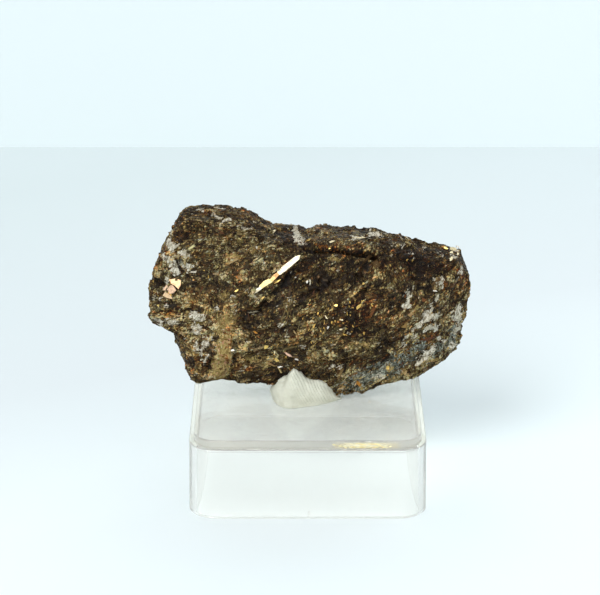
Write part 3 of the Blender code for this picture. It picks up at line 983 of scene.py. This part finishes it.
def chipPlaces(random, count, large):
    # Random places on the surface: none where it turns sharply or is a whole face, and fewer on
    # feldspar. Gives each chip's place and the number of the surface point that it belongs to.
    points, quads, normals, facing, values, smooth = rockSurface
    near, far = quads[:, 0], quads[:, 2]
    area = np.linalg.norm(facing, axis=1)
    area = area * ((normals[near] * smooth[near]).sum(axis=1) > chips["evenLeast"])
    for name in ("smooth", "pale"):
        area = area * (1 - chips[name + "Spared"] * values[name][near])
    apart = np.linalg.norm(points[near] - points[far], axis=1) / mm
    bend = np.linalg.norm(smooth[near] - smooth[far], axis=1) / np.maximum(apart, 0.02)
    area = area * (1 - smoothStep(*chips["bends"], bend))
    if large:
        area = area * (np.abs(smooth[near, 1]) > chips["largeFacing"])
        area = area * (insideRim(points[near]) > chips["largeInside"])
    chosen = random.choice(len(quads), count, p=area / area.sum())
    share = random.random((count, 2, 1))
    corner = points[quads[chosen]]
    low = corner[:, 0] * (1 - share[:, 0]) + corner[:, 1] * share[:, 0]
    high = corner[:, 3] * (1 - share[:, 0]) + corner[:, 2] * share[:, 0]
    return low * (1 - share[:, 1]) + high * share[:, 1], quads[chosen, 0]


def chipColours(random, count, home, large):
    # a brown by chance and by the place's tone with its painted shade, or the local feldspar, ochre, rust or
    # gold
    local = {name: numbers[home] for name, numbers in rockSurface[4].items()}
    level = chips["level"] + chips["levelSpread"] * random.standard_normal(count) + local["toneAndPaintedShade"]
    # chips that lie in the painted shade of pits and crevices are darker too
    colours = mixRows(stone["browns"], level - chips["paintedShadeDepth"] * local["paintedShade"])
    warmSpread = chips["largeWarmSpread" if large else "warmSpread"]
    warmth = np.clip(local["warmth"] + warmSpread * random.uniform(-1, 1, count), -0.1, 0.95)
    colours = colours * mixRows(stone["tints"], warmth)
    colours[:, :3] *= random.uniform(*chips["hues"], (count, 3))
    clean = random.random(count) < chips["clean"]
    metal = np.where(clean, random.uniform(*chips["cleanMetal"], count), 0.0)
    for name, (most, least, metallic, first, last) in chips["kinds"].items():
        own = random.random(count) < least + most * local[name]
        colours[own] = betweenColours(first, last, random.random(count))[own]
        metal[own] = metallic
    return colours, metal


def makeChips(name, count, length, width, thickness, turnSpread, anyWay, pitch, roll, lift):
    random = np.random.default_rng(chips["seed"] + count)
    large = length[0] > 1
    centres, home = chipPlaces(random, count, large)
    normals, smooth = rockSurface[2][home], rockSurface[5][home]
    climb = rock["grainTurn"] + rock["grainBend"] * centres[:, 0] / mm
    climb = np.radians(climb + chips["swirl"] * wave(centres, chips["swirlWidth"] * mm, 6.0))
    headings = np.stack([np.cos(climb), np.zeros(count), np.sin(climb)], axis=1)
    edge = (np.abs(smooth[:, 1]) < chips["edgeFacing"]) | (insideRim(centres) < chips["edgeInside"])
    rough = min(1.0, chips["follow"] / length[0]) * np.where(edge, chips["edgeFollow"], 1.0)[:, None]
    out = unit(rough * normals + (1 - rough) * smooth)
    ways = frames(out, headings, random, turnSpread, anyWay, pitch, roll)
    lengths = sized(random, *length, count)
    lengths = np.where(edge, np.minimum(chips["edgeShare"] * lengths, chips["edgeLength"]), lengths)
    widths = sized(random, *width, count)
    heights = random.uniform(*thickness, count)
    colours, metal = chipColours(random, count, home, large)
    tapers = np.stack([random.uniform(*limits, count) for limits in chips["tapers"]], 1)
    sink = random.uniform(*lift, count) - chips["edgeSink"] * edge
    mesh = chiselMesh(name, centres, ways, lengths * mm, widths * mm, heights * mm, tapers, sink)
    flat = np.empty(len(mesh.vertices) * 3, np.float32)
    mesh.vertices.foreach_get("co", flat)
    grain = grainCoordinates(flat.reshape(-1, 3).astype(float))
    addBlades(name, mesh, np.repeat(colours, 8, axis=0), np.repeat(metal, 8), grain)
    print(name + ":", count * 12, "triangles")


micaMaterial = bladeMaterial()
for chipSize in chips["sizes"]:
    makeChips(*chipSize)


# the plates: single cleavage faces that catch the light
plates = {
    "shine": (-0.211, -0.816, 0.537),    # the way they face: halfway between the light and the eye
    "least": 0.85,                   # how squarely they face the eye at least
    "thickness": 0.16, "lift": 0.10,
    "slopeReach": 1.2, "levelReach": 0.4,    # how far round them the surface's slope and level are taken
    "levelPart": 80,                 # and the percentile of that level that they stand on
    # how unevenly the six corners of the small ones lie, and how far these turn from facing the light
    "seed": 5, "cornerTurn": 24.0, "cornerReach": (0.45, 1.25), "asideMost": 0.25,
    "kinds": {                       # each colour, and how metallic it is
        "gold": ((248, 212, 124), 0.85), "cream": ((253, 238, 196), 0.4), "white": ((253, 248, 236), 0.4),
        "rose": ((236, 196, 170), 0.5), "amber": ((186, 130, 58), 0.6), "tan": ((176, 150, 104), 0.3),
        "rust": ((84, 50, 28), 0.1),
    },
    # (x, height across the view, length, width, turn, colour)
    "rows": [
        (-12.3, 31.1, 0.8, 0.5, 30, "gold"), (0.0, 39.6, 1.5, 0.3, 20, "gold"),
        (3.7, 39.3, 1.4, 0.4, 15, "cream"), (3.3, 38.1, 0.4, 0.3, 0, "gold"),
        (8.2, 28.3, 1.5, 0.5, 50, "gold"), (8.9, 29.2, 0.7, 0.3, 50, "gold"),
        (2.7, 26.6, 1.0, 0.3, -60, "cream"), (5.4, 26.1, 0.8, 0.4, -20, "cream"),
        (4.3, 28.6, 1.0, 0.5, 20, "gold"), (3.0, 24.8, 0.7, 0.3, 60, "white"),
        (5.2, 24.5, 0.7, 0.3, 0, "cream"), (-3.6, 20.1, 1.9, 0.5, -28, "rose"),
        (-2.2, 19.3, 0.8, 0.3, -20, "white"), (-5.2, 18.0, 1.0, 0.5, 12, "white"),
        (-5.6, 19.2, 1.0, 0.7, -40, "gold"), (-6.0, 20.6, 0.8, 0.4, -80, "cream"),
        (-7.4, 21.5, 1.0, 0.8, 60, "gold"), (-13.1, 20.9, 1.1, 0.4, 0, "white"),
        (-9.2, 24.0, 0.8, 0.5, -20, "amber"), (-7.9, 29.8, 1.0, 0.3, 40, "gold"),
        (-5.5, 32.5, 1.5, 0.3, 33, "gold"), (9.0, 32.2, 0.5, 0.4, 60, "gold"),
        (-0.5, 32.5, 0.6, 0.3, 60, "white"), (-6.0, 41.2, 1.1, 0.4, 42, "cream"),
        (8.7, 40.0, 2.4, 0.3, 5, "cream"), (24.6, 38.1, 1.8, 0.9, -10, "cream"),
        (23.9, 36.4, 0.9, 0.5, 50, "cream"), (25.2, 37.3, 0.8, 0.4, 60, "cream"),
        (25.3, 38.6, 0.9, 0.5, -25, "white"), (24.2, 37.6, 0.8, 0.5, 20, "cream"),
        (23.2, 38.3, 0.9, 0.4, -15, "gold"), (21.0, 31.0, 1.0, 0.3, -3, "white"),
        (-2.5, 23.9, 1.4, 0.3, -50, "tan"), (5.5, 14.2, 1.7, 0.4, 12, "tan"),
        (8.4, 15.0, 1.2, 0.7, -60, "amber"), (13.5, 17.8, 0.8, 0.7, 30, "gold"),
        (16.5, 16.9, 1.2, 0.5, 55, "tan"), (23.7, 21.2, 0.5, 0.3, 40, "gold"),
        (20.1, 22.9, 3.6, 0.4, 13, "rust"), (-25.8, 28.5, 0.5, 0.5, 0, "gold"),
        (-24.1, 27.1, 0.7, 0.4, 30, "amber"),
    ],
    # The long blade in its lengths and the cracked rose plates, by their corners (x, height across the
    # view), each with its colour and how far it turns from facing the light.
    "blade": [
        ([(-1.6, 37.0), (-1.8, 36.3), (-2.9, 35.35), (-4.0, 34.4), (-5.1, 33.65), (-5.5, 34.2), (-4.6, 35.1),
          (-3.4, 36.05), (-2.4, 36.8)], (255, 240, 206), 0.0),
        ([(-5.4, 34.15), (-5.15, 33.7), (-5.75, 33.1), (-6.1, 33.7)], (238, 176, 120), 0.2),
        ([(-5.75, 33.1), (-6.3, 32.55), (-6.85, 32.75), (-6.1, 33.72)], (250, 206, 140), 0.1),
        ([(-6.3, 32.5), (-7.3, 31.9), (-8.1, 31.35), (-8.5, 31.85), (-7.8, 32.6), (-6.9, 33.05)],
         (252, 228, 158), 0.0),
        ([(-8.1, 31.35), (-8.9, 30.75), (-10.0, 30.2), (-9.2, 31.05), (-8.5, 31.9)], (253, 242, 208), 0.0),
        ([(-6.2, 33.0), (-6.9, 32.35), (-7.1, 32.45), (-6.45, 33.15)], (206, 112, 74), 0.35),
    ],
    "rose": [
        ([(-23.8, 32.9), (-22.6, 33.1), (-21.8, 32.8), (-21.8, 32.0), (-22.2, 31.3), (-22.8, 31.9),
          (-23.3, 32.1)], (240, 196, 150), 0.2),
        ([(-24.9, 31.2), (-24.3, 32.0), (-23.5, 32.2), (-22.9, 31.6), (-22.6, 31.1), (-23.1, 30.6),
          (-23.7, 30.5), (-24.2, 30.9)], (246, 208, 174), 0.1),
        ([(-24.5, 30.8), (-23.8, 30.4), (-23.4, 30.0), (-23.2, 29.6), (-24.1, 29.8), (-24.9, 30.2)],
         (248, 214, 170), 0.1),
    ],
    # how far the blade and the rose plates turn, stand out and are metallic
    "bladeSet": (36.0, 0.25, 0.8), "roseSet": (20.0, 0.2, 0.5),
}  # fmt: skip


def plateSolid(corners, turn, aside, lift):
    # A flat plate whose outline, seen by the eye, is the given corners. Its long line follows the
    # surface and it is rolled to face the light. Gives its points, upper and then lower.
    points, smooth = rockSurface[0], rockSurface[5]
    x, up = seenPlane(points)
    middle = corners.mean(axis=0)
    away = (x - middle[0]) ** 2 + (up - middle[1]) ** 2
    near = (away < plates["slopeReach"] ** 2) & (smooth @ toEye > 0.05)
    surface = unit(smooth[near].sum(axis=0))
    close = near & (away < plates["levelReach"] ** 2)
    deep = np.percentile(points[close if close.any() else near] @ toEye, plates["levelPart"])
    turn = math.radians(turn)
    heading = np.array([math.cos(turn), 0, 0]) + math.sin(turn) * upEye
    heading = unit(heading - toEye * (heading @ surface) / (toEye @ surface))
    out = np.array(plates["shine"]) + (aside, 0, 0)
    out = unit(out - heading * (out @ heading))
    out = unit(out + max(0.0, plates["least"] - out @ toEye) * toEye)
    offset = (corners - middle) * mm
    flat = offset[:, :1] * np.array([[1, 0, 0]]) + offset[:, 1:] * upEye
    flat = flat - toEye * ((flat @ out) / (out @ toEye))[:, None]
    centre = np.array([middle[0] * mm, 0, 0]) + middle[1] * mm * upEye + (deep + lift * mm) * toEye
    return np.concatenate([centre + flat, centre + flat - plates["thickness"] * mm * out])


def joinedPlates(name, outlines):
    # Outlines: corners, turn, turn aside, lift, colour and metal. Each plate is a fan of triangles above
    # and one below, with a side wall between them.
    points, faces, colours, metals = [], [], [], []
    first = 0
    for corners, turn, aside, lift, colour, metal in outlines:
        corners = np.array(corners, float)
        x, up = corners.T
        corners = corners if (x * np.roll(up, -1) - up * np.roll(x, -1)).sum() > 0 else corners[::-1]
        count = len(corners)
        plate = plateSolid(corners, turn, aside, lift)
        middles = [plate[:count].mean(axis=0), plate[count:].mean(axis=0)]
        points.append(np.concatenate([plate, middles]))
        here = first + np.arange(count)
        after = np.roll(here, -1)
        faces += [fan(here, first + 2 * count, True), fan(here + count, first + 2 * count + 1, False)]
        faces += [np.stack([here + count, after + count, after], 1), np.stack([here + count, after, here], 1)]
        first += len(points[-1])
        colours.append(np.tile(colour, (len(points[-1]), 1)))
        metals.append(np.full(len(points[-1]), metal))
    points = np.concatenate(points)
    mesh = makeMesh(name, points, np.concatenate(faces))
    addBlades(name, mesh, np.concatenate(colours), np.concatenate(metals), grainCoordinates(points))


def makePlates():
    # each of the small ones is an uneven hexagon about its place
    random = np.random.default_rng(plates["seed"])
    stray, most = plates["cornerTurn"], plates["asideMost"]
    outlines = []
    for x, up, length, width, turn, kind in plates["rows"]:
        around = np.radians(np.arange(0, 360, 60) + random.uniform(-stray, stray, 6))
        reach = random.uniform(*plates["cornerReach"], 6)
        along, over = 0.5 * length * reach * np.cos(around), 0.5 * width * reach * np.sin(around)
        across, rise = turned(along, over, -turn)
        aside = random.uniform(-most, most)
        colour, metal = plates["kinds"][kind]
        corners = np.stack([x + across, up + rise], 1)
        outlines.append((corners, turn, aside, plates["lift"], paint(*colour), metal))
    joinedPlates("brightPlates", outlines)
    for name, part in (("longBlade", "blade"), ("rosePlates", "rose")):
        rows, (turn, lift, metal) = plates[part], plates[part + "Set"]
        rows = [(corners, turn, aside, lift, paint(*colour), metal) for corners, colour, aside in rows]
        joinedPlates(name, rows)
    print("plates:", len(outlines) + len(plates["blade"]) + len(plates["rose"]))


makePlates()


# the stand: one profile carried round a rounded square
stand = {
    "x": -0.35,
    "half": 20.0, "draft": 0.15, "corner": 4.75,
    "ledgeUp": 12.5, "ledgeWidth": 0.8, "platformUp": 13.95,
    "wall": 1.3, "plate": 1.75,
    "edgeRound": 0.2, "innerRound": 0.5,
    "cornerSteps": 20, "edgeSteps": 6,
    "nearEdge": 0.06,                # rows this close to each edge keep the shading crisp
    "sharpFrom": 40.0,               # degrees: an edge sharper than this isn't smoothed
    "refraction": 1.59,
    "clearness": 0.855,              # the rest is a white haze of fine scratches
    "colour": (0.97, 0.969, 0.953, 1),
    "polish": 0.03,                  # roughness
    "lampShare": (0.985, 0.987, 0.98, 1),      # what comes through of the lamps' light
    "tint": (0.60, 0.49, 0.125, 1.0), "tintDensity": 12.0,   # per metre
}


def quarterRound(half, up, radius, rising, steps):
    # a quarter circle about the corner (half, up), from the side to the top if rising, else back down
    turns = np.radians(np.linspace(0, 90, steps + 1))
    if not rising:
        turns = turns[::-1]
    return [(half - radius + radius * math.cos(a), up - radius + radius * math.sin(a)) for a in turns]


def standProfile():
    # (half width, height) from the middle of the underside, down the inside and up the outside
    s = stand
    inside, ceiling, near = s["half"] - s["wall"], s["platformUp"] - s["plate"], s["nearEdge"]
    shelf, steps = s["half"] - s["ledgeWidth"], s["edgeSteps"]
    lean = s["draft"] / s["ledgeUp"]
    return np.array([
        (inside - s["innerRound"] - near, ceiling),
        *quarterRound(inside, ceiling, s["innerRound"], False, steps),
        (inside + lean * near, ceiling - s["innerRound"] - near),
        (inside + s["draft"] - lean * near, near),
        (inside + s["draft"], 0.0),
        (inside + s["draft"] + near, 0.0),
        (s["half"] + s["draft"] - near, 0.0),
        (s["half"] + s["draft"], 0.0),
        (s["half"] + s["draft"] - lean * near, near),
        (s["half"] + lean * near, s["ledgeUp"] - s["edgeRound"] - near),
        *quarterRound(s["half"], s["ledgeUp"], s["edgeRound"], True, steps),
        (s["half"] - s["edgeRound"] - near, s["ledgeUp"]),
        (shelf + near, s["ledgeUp"]),
        (shelf, s["ledgeUp"]),
        (shelf, s["ledgeUp"] + near),
        (shelf, s["platformUp"] - s["edgeRound"] - near),
        *quarterRound(shelf, s["platformUp"], s["edgeRound"], True, steps),
        (shelf - s["edgeRound"] - near, s["platformUp"]),
    ])  # fmt: skip


def standPoints(profile):
    # each profile point goes round a square whose corners keep the same centres at every size
    half, up = profile[:, 0, None], profile[:, 1, None]
    radius = stand["corner"] - (stand["half"] - half)
    steps = stand["cornerSteps"] + 1
    turns = np.radians(np.concatenate([90 * k + np.linspace(0, 90, steps) for k in range(4)]))
    signX = np.repeat([1, -1, -1, 1], steps)
    signY = np.repeat([1, 1, -1, -1], steps)
    x = stand["x"] + signX * (half - radius) + radius * np.cos(turns)
    y = signY * (half - radius) + radius * np.sin(turns)
    return np.stack([x, y, up + 0 * x], -1)


def letThrough(tree, shader, colour):
    # lets this share of the lamps' light straight through
    swapShader(tree, shader, addNode(tree, "LightPath").outputs["Is Shadow Ray"], colour)


def clearMaterial():
    # clear plastic with a trace of yellow; lamps shine through it, as light does through thin clear walls
    material, tree, shader = newMaterial("clearPlastic", {
        "Base Color": stand["colour"], "Transmission Weight": stand["clearness"], "Metallic": 0.0,
        "IOR": stand["refraction"], "Roughness": stand["polish"],
    })  # fmt: skip
    letThrough(tree, shader, stand["lampShare"])
    tinted = addNode(tree, "VolumeAbsorption", {"Color": stand["tint"], "Density": stand["tintDensity"]})
    plug(tree, tree.nodes["Material Output"].inputs["Volume"], tinted.outputs[0])
    return material


def squareSolid(name, profile):
    # carries the profile round the square, and closes the underside and the top
    rings = standPoints(np.array(profile))
    middles = np.array([[stand["x"], 0, rings[0, 0, 2]], [stand["x"], 0, rings[-1, 0, 2]]])
    mesh = ringSolid(name, rings.reshape(-1, 3) * mm, rings.shape[1], middles * mm)
    mesh.set_sharp_from_angle(angle=math.radians(stand["sharpFrom"]))
    return mesh


def makeStand():
    mesh = squareSolid("clearStand", standProfile())
    addPiece("clearStand", mesh, clearMaterial(), "stand")
    print("stand:", len(mesh.polygons), "faces")


makeStand()


# what lies on the stand: a hair of dust on the platform and a few specks, and a painted reflection of gold
# against the step behind the front ledge, as a film and flakes
dust = {
    "filmShare": (0.08, 0.24),       # least and most of the dust's cover
    "filmColour": paint(240, 242, 234),
    "filmLift": 0.003, "filmThick": 0.012, "filmMargin": 0.05,
    "smudges": {"Scale": 160.0, "Detail": 5.0, "Roughness": 0.65}, "smudgeNoise": (0.35, 0.7),
    "lines": {"Scale": 420.0, "Detail": 2.0}, "lineStretch": (1.0, 9.0, 1.0),
    "scratches": (0.62, 0.75, 0.0, 0.08),    # from and to this much noise, cover from and to
    # painted reflection against the step behind the ledge: a thin gold film with flakes in it, for the
    # specimen's gold seen in the clear plastic
    "reflectionFrom": 3.6, "reflectionTo": 15.2, "reflectionUp": (12.52, 13.72), "reflectionCover": 0.75,
    "reflectionColours": [(0.1, paint(236, 216, 150)), (0.8, paint(255, 250, 222))],
    "seed": 11, "reflectionFlakes": 46, "reflectionFlakesMiddle": 9.2, "reflectionFlakesSpread": 2.7, "reflectionFlakesUp": (12.7, 13.5),
    "reflectionFlakeLength": (0.55, 0.4, 0.25, 1.2), "reflectionFlakeWidth": (0.14, 0.3, 0.08, 0.25), "flakeThick": 0.05,
    "flakeTurn": 20.0, "flakeTapers": (0.4, 1.0), "flakeSlant": 0.3,
    "reflectionFlakeColours": ((236, 214, 140), (255, 248, 205)),
    "gate": (-0.13, 0.75, 0.34, 1.3, 0.09),   # the mark of the mould's gate: x, up, width, length, how proud
    # (x, y, z, size, colour)
    "specks": [
        (-13.2, 0.4, 13.97, 0.28, (110, 100, 78)), (2.7, -15.9, 13.97, 0.26, (96, 88, 72)),
        (10.4, -3.1, 13.97, 0.34, (176, 150, 100)), (-7.4, -16.9, 13.97, 0.2, (120, 112, 92)),
        (12.8, 9.5, 13.97, 0.2, (120, 112, 92)), (-15.6, -9.0, 13.97, 0.16, (140, 130, 106)),
    ],
}
riser = stand["ledgeWidth"] - stand["half"]    # where the step's front face is, along Y


def dustMaterial():
    # thin white dust: smudges and long fine scratches, clear between them
    material, tree, shader = newMaterial("dust", {"Base Color": dust["filmColour"], "Roughness": 0.9})
    place = addNode(tree, "TexCoord").outputs["Object"]
    smudge = noise(tree, place, **dust["smudges"])
    stretched = vectorCalc(tree, "MULTIPLY", place, dust["lineStretch"])
    cover = spread(tree, smudge, *dust["smudgeNoise"], *dust["filmShare"])
    scratches = spread(tree, noise(tree, stretched, **dust["lines"]), *dust["scratches"])
    plug(tree, shader.inputs["Alpha"], calc(tree, "ADD", cover, scratches))
    letThrough(tree, shader, (1, 1, 1, 1))
    return material


def paintedReflectionMaterial():
    # a painted reflection of pale gold, densest along its middle: its cover falls to nothing at both ends and
    # at the edges
    material, tree, shader = newMaterial("paintedGoldReflection", {"Roughness": 0.6})
    place = addNode(tree, "TexCoord").outputs["Object"]
    parts = addNode(tree, "SeparateXYZ", {"Vector": place}).outputs
    low, high = dust["reflectionUp"]
    body = 1.0
    for name, first, last, power in (("X", dust["reflectionFrom"], dust["reflectionTo"], 0.8), ("Z", low, high, 0.7)):
        hill = calc(tree, "SINE", spread(tree, parts[name], first * mm, last * mm, 0.0, math.pi))
        body = calc(tree, "MULTIPLY", calc(tree, "POWER", hill, power), body)
    stretched = vectorCalc(tree, "MULTIPLY", place, (1.0, 1.0, 5.0))
    streaks = noise(tree, stretched, Scale=900.0, Detail=3.0)
    cover = calc(tree, "MULTIPLY", body, spread(tree, streaks, 0.3, 0.65, 0.35, 1.0))
    plug(tree, shader.inputs["Alpha"], calc(tree, "MULTIPLY", cover, dust["reflectionCover"]))
    plug(tree, shader.inputs["Base Color"], ramp(tree, cover, dust["reflectionColours"]))
    letThrough(tree, shader, (1, 1, 1, 1))
    return material


def boxSolid(name, corner, size):
    # a plain box from its least corner and its size, in mm
    low, wide = np.array(corner), np.array(size)
    points = np.array(list(product((0, 1), repeat=3))) * wide + low
    faces = np.array([[0, 1, 3, 2], [4, 6, 7, 5], [0, 4, 5, 1], [2, 3, 7, 6], [0, 2, 6, 4], [1, 5, 7, 3]])
    mesh = makeMesh(name, points * mm, faces)
    mesh.shade_flat()
    return mesh


def makeMarks():
    # a painted gold reflection on the step's front face, and the mould's gate mark
    low, high = dust["reflectionUp"]
    first, last = dust["reflectionFrom"], dust["reflectionTo"]
    size = (last - first, dust["filmThick"], high - low)
    reflectionStrip = boxSolid("paintedGoldReflection", (first, riser - 0.02, low), size)
    addPiece("paintedGoldReflection", reflectionStrip, paintedReflectionMaterial())
    x, up, wide, tall, proud = dust["gate"]
    wall = -stand["half"] - stand["draft"] * (1 - up / stand["ledgeUp"])
    gate = boxSolid("gateMark", (x - wide / 2, wall - proud, up - tall / 2), (wide, proud - 0.01, tall))
    addPiece("gateMark", gate, bpy.data.materials["clearPlastic"])


def makeFilm():
    low = stand["platformUp"] + dust["filmLift"]
    high = low + dust["filmThick"]
    half = stand["half"] - stand["ledgeWidth"] - stand["edgeRound"] - dust["filmMargin"]
    film = squareSolid("dustFilm", [(half - 0.1, low), (half, low), (half, high), (half - 0.1, high)])
    addPiece("dustFilm", film, dustMaterial())


def makeSpecksAndReflectionFlakes():
    # the gold flakes of the painted reflection stand flat against the step, and the specks of dust lie on the
    # platform
    random = np.random.default_rng(dust["seed"])
    count = dust["reflectionFlakes"]
    specks = dust["specks"]
    total = count + len(specks)
    places = np.empty((total, 3))
    reach = np.clip(random.standard_normal(count), -2, 2)
    places[:count, 0] = dust["reflectionFlakesMiddle"] + dust["reflectionFlakesSpread"] * reach
    places[:count, 1] = riser - 0.03
    places[:count, 2] = random.uniform(*dust["reflectionFlakesUp"], count)
    places[count:] = [speck[:3] for speck in specks]
    sizes = np.array([speck[3] for speck in specks])
    flat = np.arange(total) < count
    out = np.where(flat[:, None], (0.0, -1.0, 0.0), (0.0, 0.0, 1.0))
    turn = np.radians(random.uniform(-dust["flakeTurn"], dust["flakeTurn"], total))[:, None]
    ahead = np.cos(turn) * (1.0, 0.0, 0.0) + np.sin(turn) * np.cross(out, (1.0, 0.0, 0.0))
    ways = (ahead, np.cross(out, ahead), out)
    lengths = np.concatenate([sized(random, *dust["reflectionFlakeLength"], count), sizes]) * mm
    widths = np.concatenate([sized(random, *dust["reflectionFlakeWidth"], count), 0.8 * sizes]) * mm
    heights = np.full(total, dust["flakeThick"] * mm)
    tapers = random.uniform(*dust["flakeTapers"], (total, 3)) * (1, 1, dust["flakeSlant"])
    mesh = chiselMesh("dustAndReflectionFlakes", places * mm, ways, lengths, widths, heights, tapers, np.zeros(total))
    # painted reflection: the gold colours of the flakes
    gold = betweenColours(*dust["reflectionFlakeColours"], random.random(count))
    colours = np.concatenate([gold, [paint(*speck[4]) for speck in specks]])
    grain = np.repeat(places, 8, axis=0)
    addBlades("dustAndReflectionFlakes", mesh, np.repeat(colours, 8, axis=0), np.repeat(flat, 8) * 0.25, grain)
    print("dust:", total, "flakes and specks")


makeFilm()
makeSpecksAndReflectionFlakes()
makeMarks()


# the putty: from a rounded foot up to a crest line that is pressed against the specimen
putty = {
    "foot": [                        # (x, y) on the platform, from the left round the front
        (-6.5, -0.8), (-6.2, -2.8), (-5.4, -4.6), (-4.3, -5.8), (-3.1, -6.05), (-1.8, -5.75), (-0.5, -5.35),
        (0.9, -4.95), (2.1, -4.4), (3.3, -3.65), (4.5, -2.85), (5.4, -1.8), (5.3, -0.5), (4.1, 1.2),
        (2.3, 2.5), (-0.1, 3.2), (-2.6, 3.2), (-4.8, 2.4), (-6.1, 1.0),
    ],
    "crest": [                       # (x, y, z) from left to right
        (-6.1, -2.9, 17.0), (-5.8, -3.5, 17.7), (-5.1, -3.9, 18.5), (-4.4, -4.1, 19.05),
        (-3.75, -4.25, 19.3), (-3.3, -4.6, 20.2), (-2.73, -4.8, 20.85), (-2.25, -4.7, 20.65),
        (-1.6, -4.4, 20.1), (-1.1, -4.15, 19.5), (-0.65, -3.9, 18.95), (0.3, -3.6, 18.45),
        (1.5, -3.45, 18.2), (2.6, -3.1, 17.5), (3.3, -2.75, 16.8), (4.0, -2.3, 15.8), (4.8, -1.8, 14.7),
        (5.3, -1.4, 14.1),
    ],
    "lift": 0.03,                    # the hair of air under it
    "middle": (-0.8, -1.0),
    "around": 400, "levels": 110,
    "frontShare": 0.58,              # the share of the way round that lies before the crest's right end
    "bulge": 2.4, "climb": 0.92,     # powers: how long the side stays out, how evenly it climbs
    "swell": 0.35, "swellTop": 1.15,
    "ridgeSpacing": 0.49, "ridgeHeight": 0.034, "ridgeLean": 0.46,
    "ridgeWander": (0.12, 1.6),      # how far the ridges stray, and over what length
    "ridgeEnds": (-2.2, -0.4, 5.0, 6.4),     # where they begin, are full, start to fade and end, along X
    "lumps": [(0.08, 0.9, 2.2), (0.035, 0.35, 0.9)],   # (height, width, shift of the pattern)
    "whites": [(0.25, paint(205, 207, 190)), (0.55, paint(218, 220, 204)), (0.8, paint(228, 230, 216))],
    "dirt": paint(150, 140, 112), "pores": 0.09,
    "finish": {
        "Roughness": 0.62, "Subsurface Weight": 0.15, "Subsurface Radius": (0.4, 0.35, 0.3),
        "Subsurface Scale": mm,
    },
}


def along(points, places, closed=False):
    # a smooth curve through the points: Catmull-Rom, at places from 0 to 1
    points = np.array(points, float)
    count = len(points)
    reach = places * (count if closed else count - 1)
    first = np.floor(reach).astype(int)
    if not closed:
        first = np.minimum(first, count - 2)
    t = (reach - first)[:, None]

    def pick(step):
        index = (first + step) % count if closed else np.clip(first + step, 0, count - 1)
        return points[index]

    a, b, c, d = pick(-1), pick(0), pick(1), pick(2)
    return 0.5 * (2 * b + (c - a) * t + (2 * a - 5 * b + 4 * c - d) * t**2 + (3 * b - a - 3 * c + d) * t**3)


def puttyPoints():
    # Each point of the foot climbs to the crest above it: outwards first, like a quarter of an ellipse.
    # The front goes along the crest from left to right and the back returns along it.
    around = np.arange(putty["around"]) / putty["around"]
    foot = along(putty["foot"], around, closed=True)
    ends = putty["frontShare"]
    share = np.where(around < ends, around / ends, (1 - around) / (1 - ends))
    crest = along(putty["crest"], share)
    up = np.linspace(0, 1, putty["levels"])[:, None, None]
    level = stand["platformUp"] + putty["lift"]
    inward = 1 - np.sqrt(np.maximum(1 - up ** putty["bulge"], 0))
    ground = np.concatenate([foot, np.full((len(foot), 1), level)], axis=1)
    points = ground * (1 - inward) + crest * inward
    points[..., 2] = level + (crest[:, 2] - level) * (up ** putty["climb"])[..., 0]
    swell = np.sin(np.pi * np.clip(up[..., 0] * putty["swellTop"], 0, 1)) * (around < ends)
    outwards = unit(points[..., :2] - putty["middle"])
    points[..., :2] += outwards * (putty["swell"] * swell)[..., None]
    return points


def puttyMaterial():
    # matt white putty with a faint mottle, fine pores and specks of dirt
    material, tree, shader = newMaterial("whitePutty", putty["finish"])
    place = addNode(tree, "TexCoord").outputs["Object"]
    colour = ramp(tree, noise(tree, place, Scale=700.0, Detail=4.0), putty["whites"])
    dirt = addNode(tree, "TexVoronoi", {"Vector": place, "Scale": 900.0}).outputs
    speck = spread(tree, dirt["Distance"], 0.16, 0.10)
    chance = addNode(tree, "SeparateColor", {"Color": dirt["Color"]}).outputs[0]
    speck = calc(tree, "MULTIPLY", speck, spread(tree, chance, 0.93, 0.95))
    plug(tree, shader.inputs["Base Color"], blendColour(tree, speck, colour, putty["dirt"]))
    pores = noise(tree, place, Scale=4200.0, Detail=3.0)
    bumpFrom(tree, shader, calc(tree, "MULTIPLY", pores, putty["pores"] * mm))
    return material


def makePutty():
    # the surface moves out by finger ridges, which lean to the right as they go down, and by lumps
    rings = puttyPoints() * mm
    levels, around = rings.shape[:2]
    points = rings.reshape(-1, 3)
    normals = pointNormals(points, ringFaces(levels, around))[0]
    x, up = points[:, 0] / mm, points[:, 2] / mm - stand["platformUp"]
    stray, wide = putty["ridgeWander"]
    line = x + putty["ridgeLean"] * up + stray * wave(points, wide * mm, 0.4)
    begin, full, fade, end = putty["ridgeEnds"]
    strength = smoothStep(begin, full, line) * (1 - smoothStep(fade, end, line)) * smoothStep(0.3, 1.0, up)
    relief = np.cos(2 * np.pi * line / putty["ridgeSpacing"]) * strength * putty["ridgeHeight"]
    relief += waves(points, putty["lumps"])
    points = points + normals * (relief * mm * smoothStep(0.0, 0.25, up))[:, None]
    middle = np.array([[*putty["middle"], stand["platformUp"] + putty["lift"]]]) * mm
    mesh = ringSolid("puttyDab", points, around, middle)
    addPiece("puttyDab", mesh, puttyMaterial(), "putty")
    print("putty:", len(mesh.polygons), "triangles")


makePutty()
